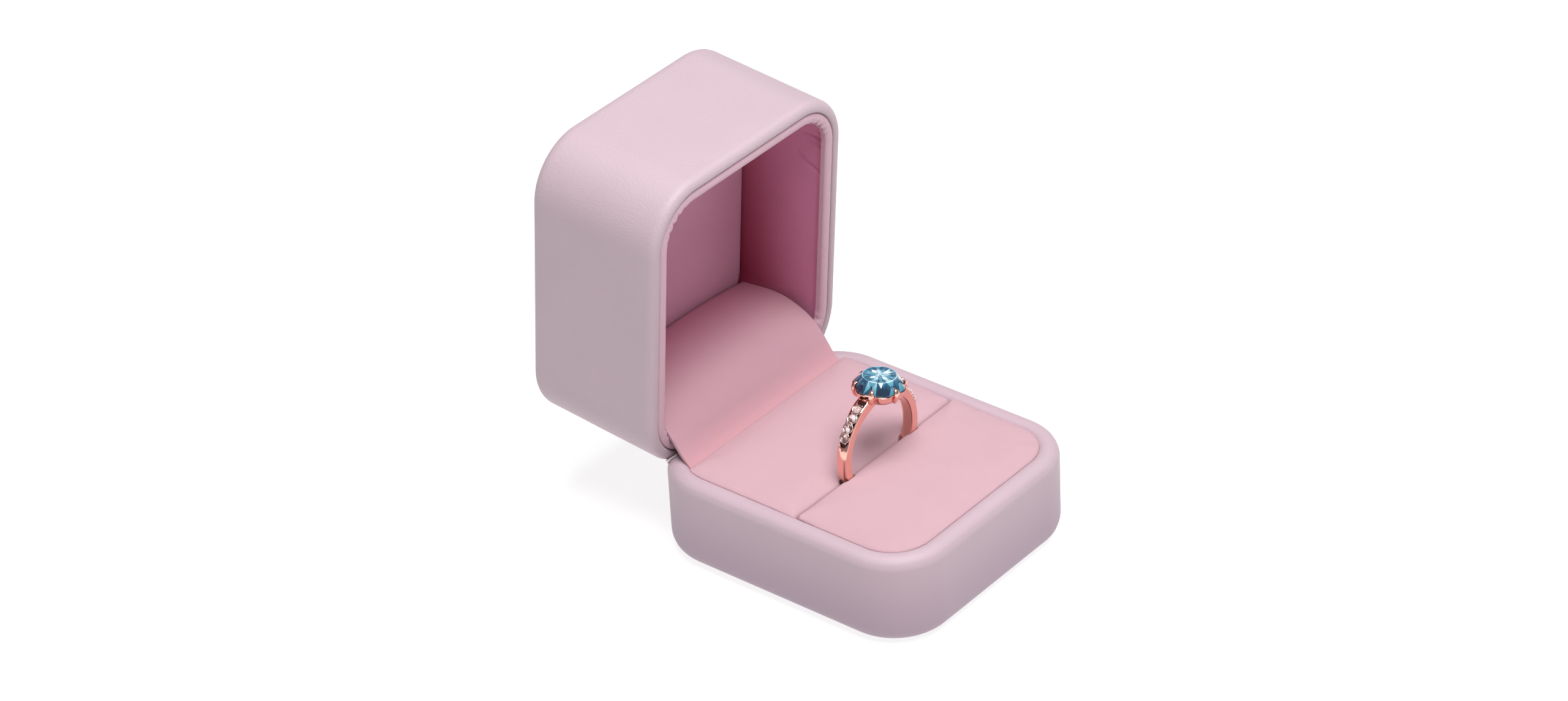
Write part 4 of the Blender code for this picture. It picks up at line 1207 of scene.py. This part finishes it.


# the stones' facet tones are painted reflections, glints and shade
topazSettings = {"deep": (0.004, 0.025, 0.055), "edge": (0.02, 0.13, 0.24), "middle": (0.13, 0.40, 0.50),
                 "paintedGlint": (0.85, 0.97, 1.0), "clear": 0.1, "wedges": 12, "rings": 3.1, "zigzag": 1.5,
                 "contrast": 0.86, "fade": 0.80, "lift": 0.36, "table": 0.64}
diamondSettings = {"deep": (0.07, 0.03, 0.03), "edge": (0.27, 0.14, 0.12), "middle": (0.58, 0.41, 0.39),
                   "paintedGlint": (1.0, 0.95, 0.94), "clear": 0.0, "wedges": 5, "rings": 1.7, "zigzag": 1.0,
                   "contrast": 0.85, "fade": 0.0, "lift": 0.02, "table": 0.6}


def makeStone():
    # lobed outline between the claws, a round table, and rows of triangular facets
    s = ringSettings
    count, radius = 24, s["stoneRadius"]
    rows = [(0.66, s["crown"], 0.0, 0.0), (0.80, s["crown"] * 0.62, 0.5, 0.4), (1.0, 0.12 * mm, 0.0, 1.0),
            (1.0, -0.12 * mm, 0.0, 1.0), (0.6, -s["pavilion"] * 0.5, 0.5, 0.3)]
    points, faces = [], []
    for share, height, shift, lobed in rows:
        for k in range(count):
            angle = 2 * math.pi * (k + shift) / count + math.radians(s["clawPhase"])
            reach = lobeRadius(radius * share, angle, s["lobeDepth"] * lobed)
            points.append((reach * math.cos(angle), reach * math.sin(angle), height))
    faces.append(tuple(range(count)))
    for row in range(len(rows) - 1):
        forward = rows[row + 1][2] > rows[row][2]
        for k in range(count):
            a, b = row * count + k, row * count + (k + 1) % count
            c, d = a + count, b + count
            if rows[row][2] == rows[row + 1][2]:
                faces.append((a, b, d, c))
            elif forward:
                faces += [(a, b, c), (b, d, c)]
            else:
                faces += [(a, b, d), (a, d, c)]
    points.append((0, 0, -s["pavilion"]))
    start = (len(rows) - 1) * count
    faces += [(start + k, start + (k + 1) % count, len(points) - 1) for k in range(count)]
    mesh = outwardMesh("centreStone", points, faces)
    mesh.transform(Matrix.Translation((0, 0, s["girdle"] + 0.1 * mm)))
    centre = ringPlace @ Vector((0, 0, s["girdle"]))
    blueTopaz = makeGem("blueTopaz", topazSettings, centre, (0, s["tilt"], 0), radius)
    piece = makeObject("centreStone", mesh, blueTopaz, smooth=False)
    settleRingPiece(piece, "topaz", "ring_stone")


def makeAccents():
    # stones, their scalloped seats and the small beads that hold them, on both shoulders
    s = ringSettings
    radius = s["accentRadius"]
    seatHeight = s["outerRadius"] + s["shoulderRise"] * 0.55
    smallDiamond = makeGem("smallDiamond", diamondSettings, ringPlace @ Vector((0, 0, seatHeight)),
                           (0, 0, 0), radius)
    for side, label in ((-1, "left"), (1, "right")):
        first, step = side * math.radians(s["accentFirst"]), side * math.radians(s["accentStep"])
        stone = brilliantMesh("accent", radius * 0.80, radius * 0.42, radius * 0.5, 6)
        stone.transform(Matrix.Translation((0, 0, seatHeight + 0.10 * mm)))
        stones = turnedCopies(label + "AccentStones", stone, "Y", s["accentCount"], first, step, smallDiamond)
        firstNode = 1 if side < 0 else 1 + s["accentCount"]
        replaced = [f"accent_stone_{firstNode + k}" for k in range(s["accentCount"])]
        settleRingPiece(stones, "accent_stone", *replaced)
        profile = [(1.02, -0.35 * mm), (1.05, 0.05 * mm), (0.98, 0.12 * mm), (0.86, 0.08 * mm),
                   (0.80, -0.05 * mm), (0.5, -0.3 * mm)]
        rings = [[(radius * share * math.cos(a), radius * share * math.sin(a), seatHeight + height)
                  for a in np.linspace(0, 2 * math.pi, 20, endpoint=False)] for share, height in profile]
        seat = loft("seat", rings, capFirst=True, capLast=True)
        seats = turnedCopies(label + "AccentSeats", seat, "Y", s["accentCount"], first, step, whiteGold)
        seats.data.shade_smooth()
        settleRingPiece(seats, "rose_gold")
        grain = bmesh.new()
        for y in (-0.62, 0.62):
            bmesh.ops.create_icosphere(grain, subdivisions=1, radius=0.15 * mm,
                                       matrix=Matrix.Translation((0, y * radius, seatHeight + 0.16 * mm)))
        beadPair = bpy.data.meshes.new("beadPair")
        grain.to_mesh(beadPair)
        grain.free()
        beads = turnedCopies(label + "AccentBeads", beadPair, "Y", s["accentCount"] + 1,
                             first - step / 2, step, whiteGold)
        beads.data.shade_smooth()
        settleRingPiece(beads, "rose_gold")


makeBand()
makeChannelFloor(-1, "left")
makeChannelFloor(1, "right")
makeCup()
makeClaws()
makeStone()
makeAccents()
print("ring made")


# Underside and the CAD pieces that stay


def makeBottomSheet():
    low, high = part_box("bottom_cover")
    radius = boxShape["cornerRadius"] - (boxShape["halfWidth"] - high.x)
    outline = planOutline(high.x, -high.y, high.y, radius, radius, 1.0 * mm)
    edge = 0.25 * mm
    section = [(0, high.z), (0, low.z + edge), *arcPoints((edge, low.z + edge), edge, 180, 270, 4)[1:]]
    rings = sweptRings(section, outline)
    rim, middle = rings[-1], rings[-1].mean(0)
    for share in (0.3, 0.6, 0.85):
        rings.append(middle + (rim - middle) * (1 - share))
    mesh = loft("bottomSheet", rings, capFirst=True, capLast=True)
    piece = makeObject("bottomSheet", mesh, bottomCloth)
    mesh.set_sharp_from_angle(angle=math.radians(50))
    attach(piece, "base")
    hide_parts("bottom_cover")


keptNodes = {
    "base_shell": shellPlastic, "lid_shell": shellPlastic, "insert_board": greyCard,
    "lid_panel_board": greyCard,
    "hinge_leaf_base": springSteel, "hinge_leaf_lid": springSteel, "hinge_pin": springSteel,
    "base_rivet_1": springSteel, "base_rivet_2": springSteel,
    "lid_rivet_1": springSteel, "lid_rivet_2": springSteel,
}


def makeSnapSpring():
    # the bowed strip over the knuckles, with its feet on the two leaves: a copy with finer faces
    node = frame["nodes"]["snap_spring"]
    mesh = node.data.copy()
    mesh.transform(node.matrix_world)
    foot = min((vertex.co.copy() for vertex in mesh.vertices), key=lambda co: co.z)
    head = max((vertex.co.copy() for vertex in mesh.vertices), key=lambda co: (co - foot).length)
    foot.x = head.x = 0
    work = bmesh.new()
    work.from_mesh(mesh)
    bmesh.ops.remove_doubles(work, verts=work.verts, dist=0.001 * mm)
    bmesh.ops.subdivide_edges(work, edges=work.edges, cuts=2, use_grid_fill=True)
    work.to_mesh(mesh)
    work.free()
    piece = makeObject("snapSpring", mesh, springSteel)
    mesh.set_sharp_from_angle(angle=math.radians(40))
    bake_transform(piece)
    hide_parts("snap_spring")


makeBottomSheet()
makeSnapSpring()
for name, material in keptNodes.items():
    node = frame["nodes"][name]
    if not node.material_slots:
        node.data.materials.append(material)
    for slot in node.material_slots:
        slot.material = material
print("underside and kept pieces finished")


# Floor, light and world

lightSettings = {
    "top": {"place": (-0.05, -0.15, 0.74), "size": 0.60, "power": 8.3, "color": (1.0, 0.99, 0.98)},
    "front": {"place": (-0.55, -0.60, 0.35), "size": 0.50, "power": 0.42, "color": (1.0, 0.99, 1.0)},
    "right": {"place": (0.65, -0.35, 0.40), "size": 0.45, "power": 0.12, "color": (1.0, 0.98, 0.98)},
}


def makeLight(name, settings):
    data = bpy.data.lights.new(name, "AREA")
    data.shape, data.size = "DISK", settings["size"]
    data.energy, data.color = settings["power"], settings["color"]
    light = bpy.data.objects.new(name, data)
    light.location = settings["place"]
    aim = Vector((0, 0.01, 0.03)) - light.location
    light.rotation_mode = "QUATERNION"
    light.rotation_quaternion = aim.to_track_quat("-Z", "Y")
    scene.collection.objects.link(light)


stageSettings = {
    "floorColor": (0.30, 0.30, 0.30), "floorGlow": 0.80, "floorSize": 3.0, "floorDrop": 0.05 * mm,
    "worldColor": (0.92, 0.90, 1.0), "worldStrength": 0.30,
}


def makeFloor():
    s = stageSettings
    material, _, _, shader = newMaterial("paleFloor", s["floorColor"], 0.8)
    shader.inputs["Emission Color"].default_value = (1, 1, 1, 1)
    shader.inputs["Emission Strength"].default_value = s["floorGlow"]
    work = bmesh.new()
    bmesh.ops.create_grid(work, x_segments=2, y_segments=2, size=s["floorSize"])
    bmesh.ops.translate(work, vec=(0, 0, -s["floorDrop"]), verts=work.verts)
    mesh = bpy.data.meshes.new("floor")
    work.to_mesh(mesh)
    work.free()
    floor = makeObject("floor", mesh, material)


def makeWorld():
    world = bpy.data.worlds.new("studio")
    world.use_nodes = True
    background = world.node_tree.nodes["Background"]
    background.inputs["Color"].default_value = (*stageSettings["worldColor"], 1)
    background.inputs["Strength"].default_value = stageSettings["worldStrength"]
    scene.world = world


for name, settings in lightSettings.items():
    makeLight(name + "Light", settings)
makeFloor()
makeWorld()
scene.view_settings.view_transform = "Standard"
scene.view_settings.look = "None"
print("floor and lights set")
